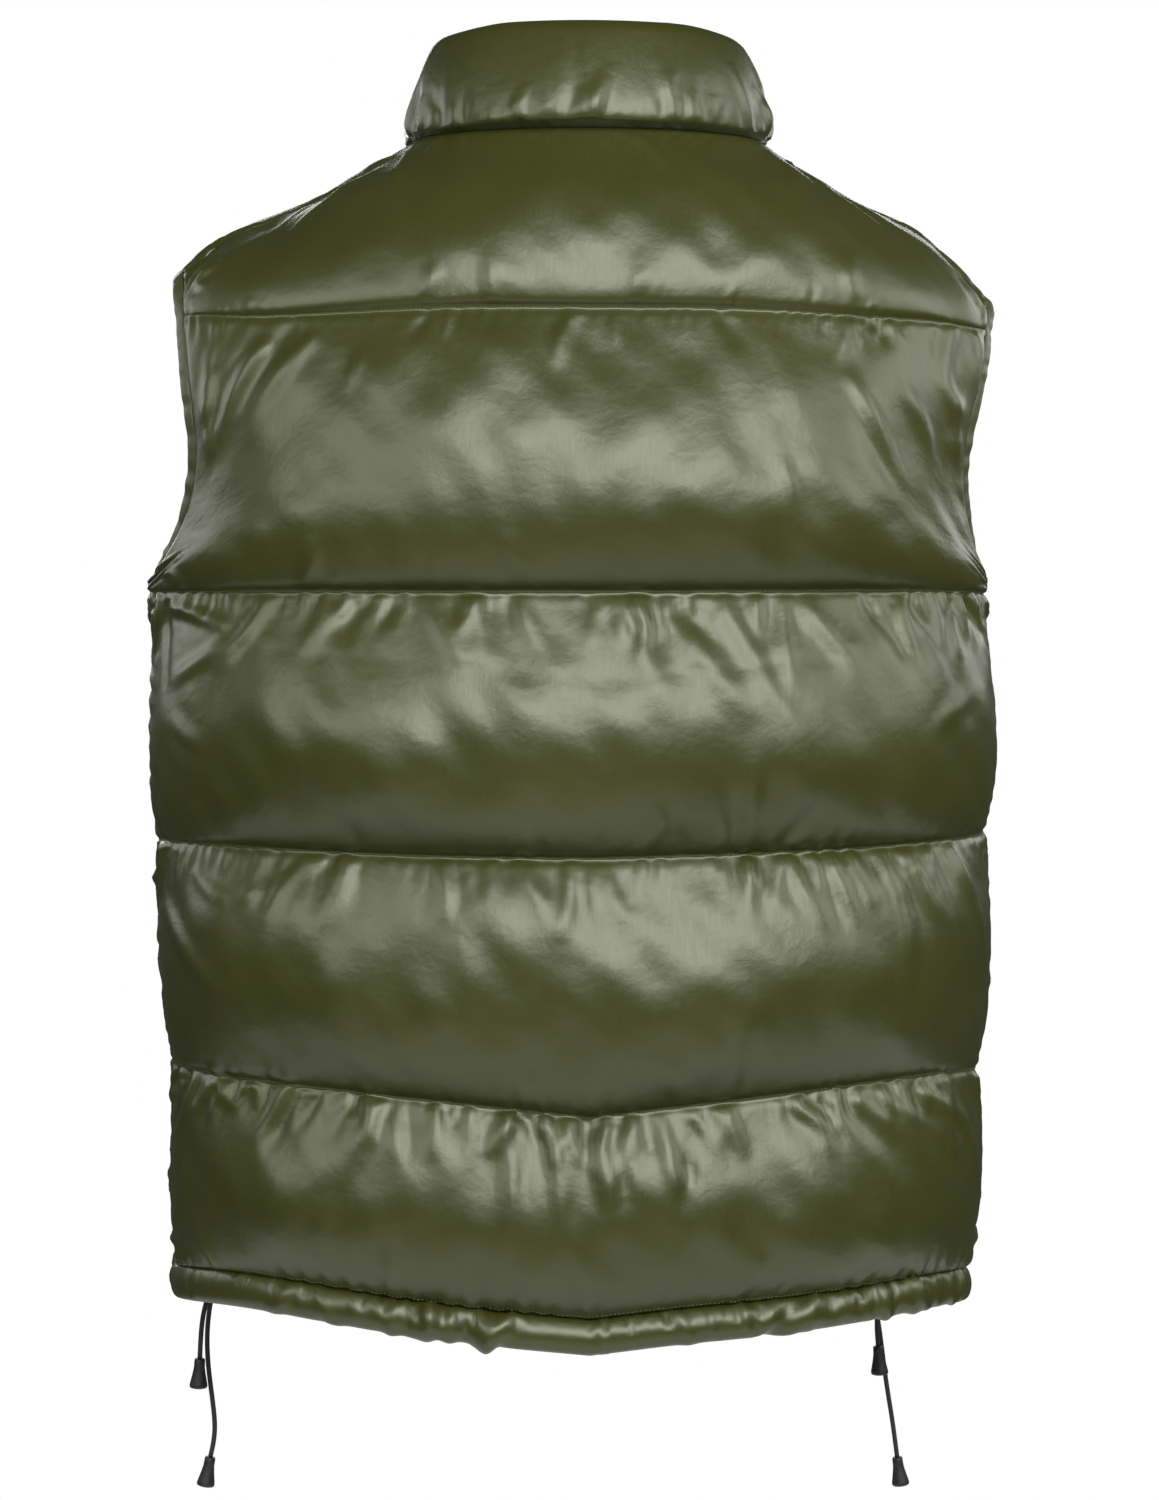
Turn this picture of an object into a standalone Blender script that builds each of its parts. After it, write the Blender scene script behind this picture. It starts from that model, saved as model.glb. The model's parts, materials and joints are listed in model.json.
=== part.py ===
"""Padded puffer vest in its worn shape, with stand collar, bound armholes, drawcord hem and front zip.

Metres, +Z up. The front faces -Y and +X is the wearer's left. The origin lies where the wearer
carries the vest: over the middle of the body, level with the middle of the shoulders.

Every cloth piece is a closed padded wall. A grid of points follows the inside of the cloth, and the
outside is that grid moved out along its normals, by the flattened wall at a seam and by the full
loft of the filling between two seams.
"""

import math
from dataclasses import dataclass

import bmesh
import bpy
import numpy as np
from mathutils import Matrix, Vector

# ---- Driving sizes ---------------------------------------------------------------------------------
SEAM_GAP = 0.0003  # clearance between two pieces that are sewn or set together
WALL = 0.004  # padded wall where a seam flattens it
SQUARENESS = 2.3  # power of the superellipse that the body's level sections follow
OPENING_HALF = 0.0100  # half the gap between the fronts, filled by the zip

# The side seams, one row for each seam that runs round the body.
#   height at the left side, height at the right, half-width to the left, half-width to the right
SIDE_LEVELS = {
    "hem": (-0.6390, -0.6390, 0.2365, 0.2375),
    "fourth": (-0.5130, -0.5220, 0.2385, 0.2430),
    "third": (-0.3800, -0.3775, 0.2465, 0.2475),
    "second": (-0.2315, -0.2345, 0.2475, 0.2475),
}
LIFT_NEAR = 0.36  # shares of the way from middle to side where the seams' lift is given
LIFT_FAR = 0.66

# The armhole's edge: share of the way up from underarm to shoulder, half-width of the back there
ARMHOLE_TABLE = (
    (0.00, 0.2475),
    (0.10, 0.2385),
    (0.28, 0.2265),
    (0.45, 0.2240),
    (0.65, 0.2300),
    (0.82, 0.2355),
    (1.00, 0.2410),
)
ARMHOLE_HEIGHT = 0.1875
ARMHOLE_BACK_REACH = 0.075  # how far the edge runs behind the underarm
ARMHOLE_FRONT_REACH = 0.085
ARMHOLE_FRONT_CUT = 0.012  # how much deeper the front is cut
SHOULDER_SEAM_ANGLE = 155.0  # where the shoulder seam meets the armhole, from the underarm over the back

NECK_HALF_WIDTH = 0.1030
NECK_BACK = 0.0780
NECK_FRONT = 0.0880
NECK_HEIGHT = 0.0400
NECK_FRONT_DROP = 0.0720
NECK_POINT_ANGLE = 83.0  # where the shoulder seam meets the neck, from the centre back

# The shoulder seam between the neck and the armhole: x, y, z
SHOULDER_POINTS = ((0.172, 0.012, -0.0028), (0.2175, 0.019, -0.0280))

NECK_FAN = 0.18  # how far the cloth turns toward the neck's middle where it meets the side of the neck
OUTWARD_FALL = 0.42  # slope of the shoulder from the neck outward
RIDGE_FALL = -0.30  # slope toward the back where the shoulder seam lies
ROUNDING = 14.0  # change of that slope for each metre toward the back
NECK_FADE_WIDTH = 0.032
YOKE_START_PULL = 1.15  # lengths of the yoke curves' end tangents, as shares of their span
YOKE_END_PULL = 0.80
YOKE_SAG = 0.6  # below 1, the yoke's filling lies thickest near the first seam

BAFFLE_ROUNDNESS = 0.75  # power of a baffle's profile
SIDE_LOSS = 0.74  # share of the loft lost toward the side seam
SIDE_LOSS_START = 0.40
EDGE_POWER = 12  # the higher, the shorter the loft's fall at side seam and armhole
ZIP_EDGE_POWER = 14

NECK_GAP = 0.0009  # wider than other seams, because the seam's faces twist round the neck
COLLAR_HEIGHT_BACK = 0.068
COLLAR_HEIGHT_FRONT = 0.072
COLLAR_LEAN = 0.015  # how much narrower the collar's top ring is, each side
COLLAR_LOFT = 0.011
COLLAR_ROUNDNESS = 0.5  # power of the collar's profile
COLLAR_EDGE_POWER = 16

BAND_WIDTH = 0.0085
BAND_THICKNESS = 0.0032
BAND_SQUARENESS = 0.6  # power that flattens the binding's oval
BAND_CORNERS = 8
BAND_GAP = 0.0007  # wider than other seams, because the edge is curved both ways

CASING_HEIGHT = 0.0200
CASING_DEPTH = 0.0115  # at the middle of back and front
CASING_SIDE_DEPTH = 0.0065  # at the side seams
CASING_MIDDLE = 0.48  # share of the casing's height at which the cords leave it

TAPE_THICKNESS = 0.0014
CHAIN_HALF = 0.0028
CHAIN_THICKNESS = 0.0026
CHAIN_END = 0.0100  # how far below the collar's top the closed chain ends
TAPE_END = 0.0015

# The zip's metal parts, measured from the line down the middle of the chain
BOX_HEIGHT = 0.0075
BOX_HALF_DEPTH = 0.0021
PLATE_HALF = 0.0048
PLATE_THICKNESS = 0.0012
PLATE_CLEAR = CHAIN_THICKNESS / 2.0 + SEAM_GAP
PLATE_FOOT = -0.0090
PLATE_TOP = 0.0042
WEDGE_HALF = 0.0016  # the post that joins the slider's two plates
BRIDGE_HALF = 0.0011
BRIDGE_FOOT = -0.0068
BRIDGE_TOP = 0.0026
BRIDGE_HEIGHT = 0.0030  # outside of the arch above the front plate
POST = 0.0012
BRIDGE_BAR = 0.0010
JOINED = 0.0002  # how far two joined shapes reach into each other
HINGE_UP = -0.0010
HINGE_OUT = PLATE_CLEAR + PLATE_THICKNESS + 0.0010
PIN_RADIUS = 0.0006
ARM_INNER = 0.0018
ARM_OUTER = 0.0030
TAB_HALF = 0.0040
TAB_TOP = -0.0075
TAB_FOOT = -0.0300
TAB_THICKNESS = 0.0012
STOP_HALF = 0.0012
STOP_DEPTH = 0.0011
STOP_DROP = 0.0025  # how far below the tape's end

EYELET_OUTER = 0.0060
EYELET_INNER = 0.0037
EYELET_THICKNESS = 0.0016
EYELET_LIP = 0.0004
EYELET_CLEARANCE = 0.0006  # the casing behind it is slightly hollow

CORD_DIAMETER = 0.0030
CORD_STEP = 0.0070
CORD_END_LENGTH = 0.0180
CORD_END_TOP = 0.0033
CORD_END_FOOT = 0.0055
CORD_START = 0.0008  # how far inside the casing's face a cord starts
EXIT_STRAIGHT = 0.0040  # how far it runs straight in
EXIT_REACH = 0.0090  # how far inside it hangs
EXIT_FALL = 0.0050

# How the cloth lies: the whole upper body sits a little to the wearer's right, that shoulder lower.
# Each pair under a size is where it starts to act and where it acts in full.
UPPER_SHIFT = -0.0100
SHIFT_HEIGHTS = (-0.200, 0.030)
SHOULDER_DROP = 0.0075
DROP_REACH = (0.190, 0.245)
DROP_HEIGHTS = (-0.115, -0.015)
HEM_TILT = 0.0080  # how much lower the hem hangs to the wearer's right
TILT_REACH = (0.030, 0.200)
TILT_DEPTHS = (0.450, 0.620)  # below the origin
UNDERARM_FLARE = 0.0060  # how far the left underarm stands off
FLARE_REACH = (0.200, 0.240)
FLARE_HEIGHT = -0.222
FLARE_SPREAD = (0.060, 0.030)  # along Y and along Z

COLOURS = {
    "shell_olive": ((0.051, 0.056, 0.020), 0.38, 0.0),
    "binding_olive": ((0.040, 0.045, 0.018), 0.55, 0.0),
    "zip_tape_olive": ((0.034, 0.038, 0.016), 0.80, 0.0),
    "zip_teeth_dark": ((0.020, 0.022, 0.018), 0.45, 0.0),
    "zip_metal_dark": ((0.055, 0.055, 0.052), 0.35, 0.9),
    "cord_black": ((0.016, 0.018, 0.022), 0.80, 0.0),
    "cord_end_black": ((0.012, 0.013, 0.014), 0.55, 0.0),
}


@dataclass(frozen=True)
class Face:
    """One side of the body, back or front, from its middle edge out to side seam and armhole."""

    facing: int  # +1 for the back, -1 for the front
    heights: tuple  # middle heights of hem, fourth, third, second and first seam
    lifts: tuple  # how far each of them lies above its middle, at LIFT_NEAR and at LIFT_FAR
    depths: tuple  # distance from the body's middle plane at the same seams
    middle: float  # x of the middle edge
    first_angle: float  # where the first seam meets the armhole, degrees round from the underarm
    rows: tuple  # rows of cells in each baffle, hem to shoulder
    neck_cells: int
    lofts: tuple  # loft of each baffle above the flattened wall, hem to shoulder


BACK = Face(
    facing=1,
    heights=(-0.6425, -0.5270, -0.3800, -0.2295, -0.0675),
    lifts=((0.0115, 0.0180), (0.0115, 0.0160), (0.0020, 0.0035), (0.0, -0.0005), (0.0, -0.0015)),
    depths=(0.1420, 0.1470, 0.1510, 0.1520, 0.1300),
    middle=0.0,
    first_angle=135.0,
    rows=(5, 5, 5, 6, 5),
    neck_cells=5,
    lofts=(0.020, 0.024, 0.026, 0.026, 0.016),
)
FRONT = Face(
    facing=-1,
    heights=(-0.6340, -0.5180, -0.3790, -0.2295, -0.1050),
    lifts=((0.0030, 0.0060), (0.0030, 0.0060), (0.0010, 0.0020), (0.0, 0.0), (0.0, 0.0)),
    depths=(0.1400, 0.1450, 0.1480, 0.1480, 0.1360),
    middle=OPENING_HALF,
    first_angle=245.0,
    rows=(5, 5, 5, 5, 7),
    neck_cells=5,
    lofts=(0.018, 0.023, 0.025, 0.025, 0.017),
)
SHOULDER_CELLS = 7
COLLAR_ROWS = 6


# ---- Curves ----------------------------------------------------------------------------------------
def smooth(knots, values, at):
    """Natural cubic spline through the values at the knots, read at the places given."""
    knots = np.asarray(knots, float)
    values = np.asarray(values, float)
    at = np.atleast_1d(np.asarray(at, float))
    flat = values.reshape(len(knots), -1)
    step = np.diff(knots)
    slope = np.diff(flat, axis=0) / step[:, None]
    system = np.eye(len(knots))
    pull = np.zeros_like(flat)
    for i in range(1, len(knots) - 1):
        system[i, i - 1 : i + 2] = step[i - 1], 2.0 * (step[i - 1] + step[i]), step[i]
        pull[i] = 6.0 * (slope[i] - slope[i - 1])
    bend = np.linalg.solve(system, pull)
    span = np.clip(np.searchsorted(knots, at, side="right") - 1, 0, len(step) - 1)
    before = ((knots[span + 1] - at) / step[span])[:, None]
    after = 1.0 - before
    square = (step[span] ** 2)[:, None] / 6.0
    curve = before * flat[span] + after * flat[span + 1]
    curve += ((before**3 - before) * bend[span] + (after**3 - after) * bend[span + 1]) * square
    return curve.reshape((len(at),) + values.shape[1:])


def ramp(value, start, end):
    """Soft step: 0 before start, 1 past end, 3t^2 - 2t^3 between."""
    t = np.clip((np.asarray(value, float) - start) / (end - start), 0.0, 1.0)
    return t * t * (3.0 - 2.0 * t)


def unit(vectors):
    """The vectors at length 1."""
    return vectors / np.linalg.norm(vectors, axis=-1, keepdims=True)


def along(points, shares):
    """Points at the given shares of a polyline's length."""
    lengths = np.linalg.norm(np.diff(points, axis=0), axis=1)
    travelled = np.concatenate(([0.0], np.cumsum(lengths)))
    wanted = np.asarray(shares) * travelled[-1]
    return np.stack([np.interp(wanted, travelled, points[:, i]) for i in range(points.shape[1])], axis=1)


def level_arc(depth, edge_x, edge_y, start_x, cells):
    """Evenly spaced (x, y) on |x/a|^n + |y/depth|^n = 1, from start_x out to the edge point."""
    full = edge_x / (1.0 - (abs(edge_y) / depth) ** SQUARENESS) ** (1.0 / SQUARENESS)
    first = math.asin((start_x / full) ** (SQUARENESS / 2.0))
    last = math.asin(min(1.0, (edge_x / full) ** (SQUARENESS / 2.0)))
    turn = np.linspace(first, last, 400)
    power = 2.0 / SQUARENESS
    curve = np.stack([full * np.sin(turn) ** power, depth * np.cos(turn).clip(0.0) ** power], axis=1)
    return along(curve, np.linspace(0.0, 1.0, cells + 1))


def armhole_ring(angle, side):
    """Point of the armhole's edge; 0 is the underarm, 90 the back, 180 the top and 270 the front."""
    turn = math.radians(angle)
    share = (1.0 - math.cos(turn)) / 2.0
    table = np.array(ARMHOLE_TABLE)
    half_width = float(smooth(table[:, 0], table[:, 1], share)[0])
    reach = ARMHOLE_BACK_REACH if angle <= 180.0 else ARMHOLE_FRONT_REACH
    x = half_width - ARMHOLE_FRONT_CUT * max(0.0, -math.sin(turn))
    underarm = SIDE_LEVELS["second"][0 if side > 0 else 1]
    top = SIDE_LEVELS["second"][0] + ARMHOLE_HEIGHT
    return np.array([x, reach * math.sin(turn), underarm + (top - underarm) * share])


def neck_ring(angle):
    """Point of the neck seam; 0 is the centre back, 90 the side and 180 the centre front."""
    turn = math.radians(angle)
    front = max(0.0, -math.cos(turn))
    depth = NECK_BACK if angle <= 90.0 else NECK_FRONT
    height = NECK_HEIGHT - NECK_FRONT_DROP * front**1.4
    return np.array([NECK_HALF_WIDTH * math.sin(turn), depth * math.cos(turn), height])


def top_line(face, side):
    """Neck seam and then shoulder seam, from the face's middle edge out to the armhole."""
    inner = 0.0
    if face.facing < 0:
        inner = 180.0 - math.degrees(math.asin(face.middle / NECK_HALF_WIDTH))
    neck = [neck_ring(a) for a in np.linspace(inner, NECK_POINT_ANGLE, face.neck_cells + 1)]
    end = armhole_ring(SHOULDER_SEAM_ANGLE, side)
    knots = np.array([neck[-1], *SHOULDER_POINTS, end])
    shoulder = smooth(knots[:, 0], knots, np.linspace(knots[0, 0], knots[-1, 0], 60))
    shoulder = along(shoulder, np.linspace(0.0, 1.0, SHOULDER_CELLS + 1))
    return np.vstack([neck, shoulder[1:]])


# ---- The cloth's inside ----------------------------------------------------------------------------
def share_of_drop(band, share):
    """How much of the side's drop reaches the rest of a row: none below the arms, all beside them."""
    return float(ramp(share, 0.0, 0.5)) if band == 3 else 0.0


def body_rows(face, side):
    """Grid rows from the hem up to the first seam, each an arc from the middle to side or armhole."""
    cells = face.neck_cells + SHOULDER_CELLS
    out = np.linspace(0.0, 1.0, cells + 1)
    turn = 0 if side > 0 else 1
    levels = list(SIDE_LEVELS.values())
    side_z = [level[turn] for level in levels]
    half_widths = [level[2 + turn] for level in levels]
    below = face.heights[: len(levels)]
    grid = []
    for band, count in enumerate(face.rows[:4]):
        last = 1 if band == 3 else 0
        for share in np.arange(count + last) / count:
            height = face.heights[band] + (face.heights[band + 1] - face.heights[band]) * share
            depth = float(smooth(face.heights, face.depths, height)[0])
            near, far = smooth(face.heights, face.lifts, height)[0]
            if band < 3:
                edge_z = side_z[band] + (side_z[band + 1] - side_z[band]) * share
                edge = (float(smooth(below, half_widths, height)[0]), 0.0, edge_z)
            else:
                start = 0.0 if face.facing > 0 else 360.0
                edge = armhole_ring(start + (face.first_angle - start) * share, side)
            flat = level_arc(depth, edge[0], edge[1], face.middle, cells)
            drop = (edge[2] - height) * share_of_drop(band, share)
            knots = (0.0, near + drop * LIFT_NEAR**2, far + drop * LIFT_FAR**2, edge[2] - height)
            heights = height + smooth((0.0, LIFT_NEAR, LIFT_FAR, 1.0), knots, out)
            grid.append(np.column_stack([flat[:, 0], face.facing * flat[:, 1], heights]))
    return np.array(grid)


def crossing_ways(face, line):
    """Way in which the cloth of one half runs as it meets each point of its top line.

    The way in plan fans from across the neck to straight over the shoulder. Its rise follows the
    slope of the form there: dz = -OUTWARD_FALL dx + (slope at y) dy.
    """
    neck = line[: face.neck_cells + 1]
    fan = unit(neck[:, :2] / np.array([NECK_HALF_WIDTH, NECK_BACK])) * np.array([NECK_FAN, 1.0])
    plan = np.tile([0.0, -float(face.facing)], (len(line), 1))
    plan[: len(neck)] = -unit(fan)
    plan[len(neck) - 1] = unit(plan[len(neck) - 2] + plan[len(neck)])
    slope = RIDGE_FALL - ROUNDING * (line[:, 1] - neck[-1, 1])
    return unit(np.column_stack([plan, -OUTWARD_FALL * plan[:, 0] + slope * plan[:, 1]]))


def yoke_rows(face, side, body):
    """Rows from the first seam over the shoulder: cubic Hermite columns, the last on the armhole."""
    start = body[-1]
    end = top_line(face, side)
    cells = len(end) - 1
    out = np.linspace(0.0, 1.0, cells + 1)
    rise = unit(body[-1] - body[-2])
    reach = np.linalg.norm(end - start, axis=1)[:, None]
    leave = reach * YOKE_START_PULL * rise
    arrive = reach * YOKE_END_PULL * crossing_ways(face, end)
    rows = []
    for t in np.arange(1, face.rows[4] + 1) / face.rows[4]:
        row = (2 * t**3 - 3 * t**2 + 1) * start + (t**3 - 2 * t**2 + t) * leave
        row = row + (3 * t**2 - 2 * t**3) * end + (t**3 - t**2) * arrive
        edge = armhole_ring(face.first_angle + (SHOULDER_SEAM_ANGLE - face.first_angle) * t, side)
        row = row + (edge - row[-1]) * (out[:, None] ** 5)
        rows.append(row)
    return np.array(rows)


def half_grid(face, side):
    """Inside grid of one half, rows by columns by xyz, on the wearer's left (+1) or right (-1)."""
    body = body_rows(face, side)
    grid = np.concatenate([body, yoke_rows(face, side, body)])
    grid[..., 0] *= side
    return grid


def grid_normals(grid):
    """Unit normals of a grid: rows run up the body, columns toward the wearer's left, outside left."""
    up = np.gradient(grid, axis=0)
    across = np.gradient(grid, axis=1)
    return unit(np.cross(across, up))


def baffle_loft(face):
    """Loft of the filling above the flattened wall for each row, A (4t(1-t))^p in each baffle.

    In the yoke t is the share of the way up to the power YOKE_SAG, which lets the filling sink.
    """
    loft = []
    for number, (height, count) in enumerate(zip(face.lofts, face.rows)):
        t = np.arange(count) / count
        if number == len(face.rows) - 1:
            t = t**YOKE_SAG
        loft.extend(height * (4.0 * t * (1.0 - t)) ** BAFFLE_ROUNDNESS)
    return np.array(loft + [0.0])


def side_fade(face, cells):
    """Share of the loft in each column: full at the middle, little at the side, none at an edge."""
    out = np.linspace(0.0, 1.0, cells + 1)
    fade = (1.0 - SIDE_LOSS * ramp(out, SIDE_LOSS_START, 1.0)) * np.sqrt(1.0 - out**EDGE_POWER)
    if face.facing < 0:
        fade = fade * np.sqrt(1.0 - (1.0 - out) ** ZIP_EDGE_POWER)
    return fade


def neck_fade(grid):
    """Share of the loft near the neck seam: none on it, all of it NECK_FADE_WIDTH away in plan."""
    depth = np.where(grid[..., 1] > 0.0, NECK_BACK, NECK_FRONT)
    ratio = np.sqrt((grid[..., 0] / NECK_HALF_WIDTH) ** 2 + (grid[..., 1] / depth) ** 2)
    return ramp((ratio - 1.0) * NECK_BACK, 0.0, NECK_FADE_WIDTH)


class Cloth:
    """The inside grids of back and fronts, with normals that agree along the shared seams."""

    def __init__(self):
        """Build the three grids, then share the normals at side and shoulder seams."""
        left_back = half_grid(BACK, 1)
        right_back = half_grid(BACK, -1)
        self.back = np.concatenate([right_back[:, :0:-1], left_back], axis=1)
        self.left = half_grid(FRONT, 1)
        self.right = half_grid(FRONT, -1)
        self.back_normals = -grid_normals(self.back)
        self.left_normals = grid_normals(self.left)
        self.right_normals = -grid_normals(self.right)
        self.share_seam_normals()

    def share_seam_normals(self):
        """Average the two sides' normals along each side seam and shoulder seam."""
        below = sum(BACK.rows[:3]) + 1
        for back_edge, front_normals in ((-1, self.left_normals), (0, self.right_normals)):
            shared = unit(self.back_normals[:below, back_edge] + front_normals[:below, -1])
            self.back_normals[:below, back_edge] = shared
            front_normals[:below, -1] = shared
        count = SHOULDER_CELLS + 1
        shared = unit(self.back_normals[-1, -count:] + self.left_normals[-1, -count:])
        self.back_normals[-1, -count:] = shared
        self.left_normals[-1, -count:] = shared
        shared = unit(self.back_normals[-1, :count] + self.right_normals[-1, : -count - 1 : -1])
        self.back_normals[-1, :count] = shared
        self.right_normals[-1, : -count - 1 : -1] = shared

    def neck(self):
        """Neck seam from right front round the back to left front: points, normals, ways off it."""
        shoulder = SHOULDER_CELLS
        front = FRONT.neck_cells
        parts = []
        for right, back, left in (
            (self.right[-1], self.back[-1], self.left[-1]),
            (self.right_normals[-1], self.back_normals[-1], self.left_normals[-1]),
        ):
            behind = back[shoulder : len(back) - shoulder]
            parts.append(np.concatenate([right[:front], behind, left[front - 1 :: -1]]))
        line, normals = parts
        off_cloth = unit(np.cross(normals, np.gradient(line, axis=0)))
        off_cloth *= np.sign(-np.sum(off_cloth[:, :2] * line[:, :2], axis=1))[:, None]
        off_cloth[[0, -1], 0] = 0.0
        return line, normals, off_cloth

    def armhole(self, side):
        """Armhole edge, underarm over the back, top and front: points, normals, ways off the cloth."""
        below = sum(BACK.rows[:3])
        column = -1 if side > 0 else 0
        inward = -2 if side > 0 else 1
        front = self.left if side > 0 else self.right
        front_normals = self.left_normals if side > 0 else self.right_normals
        back_run = slice(below, None)
        front_run = slice(-2, below, -1)
        points = np.concatenate([self.back[back_run, column], front[front_run, -1]])
        normals = np.concatenate([self.back_normals[back_run, column], front_normals[front_run, -1]])
        inside = np.concatenate([self.back[back_run, inward], front[front_run, -2]])
        return points, normals, points - inside


# ---- Meshes and placing ----------------------------------------------------------------------------
def lie(points):
    """Where a point of the even form comes to lie: upper body aside, right shoulder and hem lower."""
    points = np.array(points, float)
    x, z = points[..., 0].copy(), points[..., 2].copy()
    outward = np.sign(x) * ramp(np.abs(x), *DROP_REACH)
    points[..., 2] += SHOULDER_DROP * outward * ramp(z, *DROP_HEIGHTS)
    points[..., 0] += UPPER_SHIFT * ramp(z, *SHIFT_HEIGHTS)
    points[..., 2] -= HEM_TILT * ramp(-x, *TILT_REACH) * ramp(-z, *TILT_DEPTHS)
    beside = points[..., 1] / FLARE_SPREAD[0]
    above = (z - FLARE_HEIGHT) / FLARE_SPREAD[1]
    points[..., 0] += UNDERARM_FLARE * np.exp(-(above**2) - beside**2) * ramp(x, *FLARE_REACH)
    return points


def add_material(name):
    """Principled material with the named colour, roughness and metallic value."""
    colour, roughness, metallic = COLOURS[name]
    material = bpy.data.materials.get(name) or bpy.data.materials.new(name)
    material.use_nodes = True
    shader = material.node_tree.nodes["Principled BSDF"]
    shader.inputs["Base Color"].default_value = (*colour, 1.0)
    shader.inputs["Roughness"].default_value = roughness
    shader.inputs["Metallic"].default_value = metallic
    return material


def add_object(name, data, material, collection):
    """Object of the given name and material in the collection."""
    obj = bpy.data.objects.new(name, data)
    data.materials.append(add_material(material))
    collection.objects.link(obj)
    return obj


def add_faces(name, points, faces, material, collection):
    """Closed mesh object from points and faces, its normals turned out."""
    mesh = bpy.data.meshes.new(name)
    mesh.from_pydata([tuple(p) for p in points], [], faces)
    work = bmesh.new()
    work.from_mesh(mesh)
    bmesh.ops.recalc_face_normals(work, faces=work.faces)
    work.to_mesh(mesh)
    work.free()
    mesh.shade_smooth()
    mesh.set_sharp_from_angle(angle=math.radians(50.0))
    return add_object(name, mesh, material, collection)


def inset(grid):
    """The grid with its outermost rows and columns drawn in by half a seam gap."""
    drawn = grid.copy()
    half = SEAM_GAP / 2.0
    drawn[0] += unit(grid[1] - grid[0]) * half
    drawn[-1] += unit(grid[-2] - grid[-1]) * half
    drawn[:, 0] += unit(grid[:, 1] - grid[:, 0]) * half
    drawn[:, -1] += unit(grid[:, -2] - grid[:, -1]) * half
    return drawn


def add_wall(name, inner, outer, material, collection):
    """Closed wall between two grids of the same shape, with a rim all round."""
    rows, columns = inner.shape[:2]
    index = np.arange(rows * columns).reshape(rows, columns)
    shift = rows * columns
    faces = []
    for r in range(rows - 1):
        for c in range(columns - 1):
            cell = (index[r, c], index[r, c + 1], index[r + 1, c + 1], index[r + 1, c])
            faces.append(tuple(int(i) for i in cell))
            faces.append(tuple(int(i) + shift for i in reversed(cell)))
    rim = [*index[0], *index[1:, -1], *index[-1, -2::-1], *index[-2:0:-1, 0]]
    for i, start in enumerate(rim):
        end = rim[(i + 1) % len(rim)]
        faces.append((int(start), int(start) + shift, int(end) + shift, int(end)))
    points = lie(np.concatenate([inner.reshape(-1, 3), outer.reshape(-1, 3)]))
    return add_faces(name, points, faces, material, collection)


def add_loft(name, sections, material, collection, closed=False):
    """Skin over equal sections set one after another; the ends are capped unless it closes."""
    count, size = sections.shape[:2]
    faces = []
    for i in range(count if closed else count - 1):
        j = (i + 1) % count
        for k in range(size):
            m = (k + 1) % size
            faces.append((i * size + k, i * size + m, j * size + m, j * size + k))
    if not closed:
        faces.append(tuple(range(size)))
        faces.append(tuple(range((count - 1) * size, count * size)))
    return add_faces(name, lie(sections.reshape(-1, 3)), faces, material, collection)


# ---- Cloth pieces ----------------------------------------------------------------------------------
def add_panels(cloth, collection):
    """Back and the two fronts as padded walls."""
    cells = BACK.neck_cells + SHOULDER_CELLS
    half = side_fade(BACK, cells)
    fades = {
        "back_panel": (cloth.back, cloth.back_normals, np.concatenate([half[:0:-1], half]), BACK),
        "front_left": (cloth.left, cloth.left_normals, side_fade(FRONT, cells), FRONT),
        "front_right": (cloth.right, cloth.right_normals, side_fade(FRONT, cells), FRONT),
    }
    for name, (grid, normals, fade, face) in fades.items():
        inner = inset(grid)
        thickness = WALL + np.outer(baffle_loft(face), fade) * neck_fade(grid)
        add_wall(name, inner, inner + normals * thickness[..., None], "shell_olive", collection)


def collar_grid(cloth):
    """Inside grid of the collar, from the neck seam up, and its normals."""
    base, base_normals, off_panel = cloth.neck()
    behind = base[:, 1] / NECK_BACK
    height = np.where(behind > 0.0, COLLAR_HEIGHT_BACK, COLLAR_HEIGHT_FRONT)
    top = base.copy()
    top[:, 0] *= 1.0 - COLLAR_LEAN / NECK_HALF_WIDTH
    top[:, 1] *= 1.0 - COLLAR_LEAN / NECK_FRONT
    middle = np.abs(base[:, 0]) <= OPENING_HALF * 1.001
    front = middle & (base[:, 1] < 0.0)
    top[front, 0] = base[front, 0]
    top[:, 2] = base[:, 2] + height
    shares = np.linspace(0.0, 1.0, COLLAR_ROWS + 1)[:, None, None]
    grid = base * (1.0 - shares) + top * shares
    grid[0] += off_panel * NECK_GAP
    normals = -grid_normals(grid)
    normals[0] = base_normals
    return grid, normals


def add_collar(cloth, collection):
    """Stand collar: one C-shaped padded wall whose foot follows the neck seam."""
    grid, normals = collar_grid(cloth)
    t = np.linspace(0.0, 1.0, COLLAR_ROWS + 1)
    swell = COLLAR_LOFT * (4.0 * t * (1.0 - t)).clip(0.0) ** COLLAR_ROUNDNESS
    around = np.linspace(-1.0, 1.0, grid.shape[1])
    fade = np.sqrt(1.0 - np.abs(around) ** COLLAR_EDGE_POWER)
    thickness = WALL + np.outer(swell, fade)
    add_wall("collar", grid, grid + normals * thickness[..., None], "shell_olive", collection)


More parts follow.
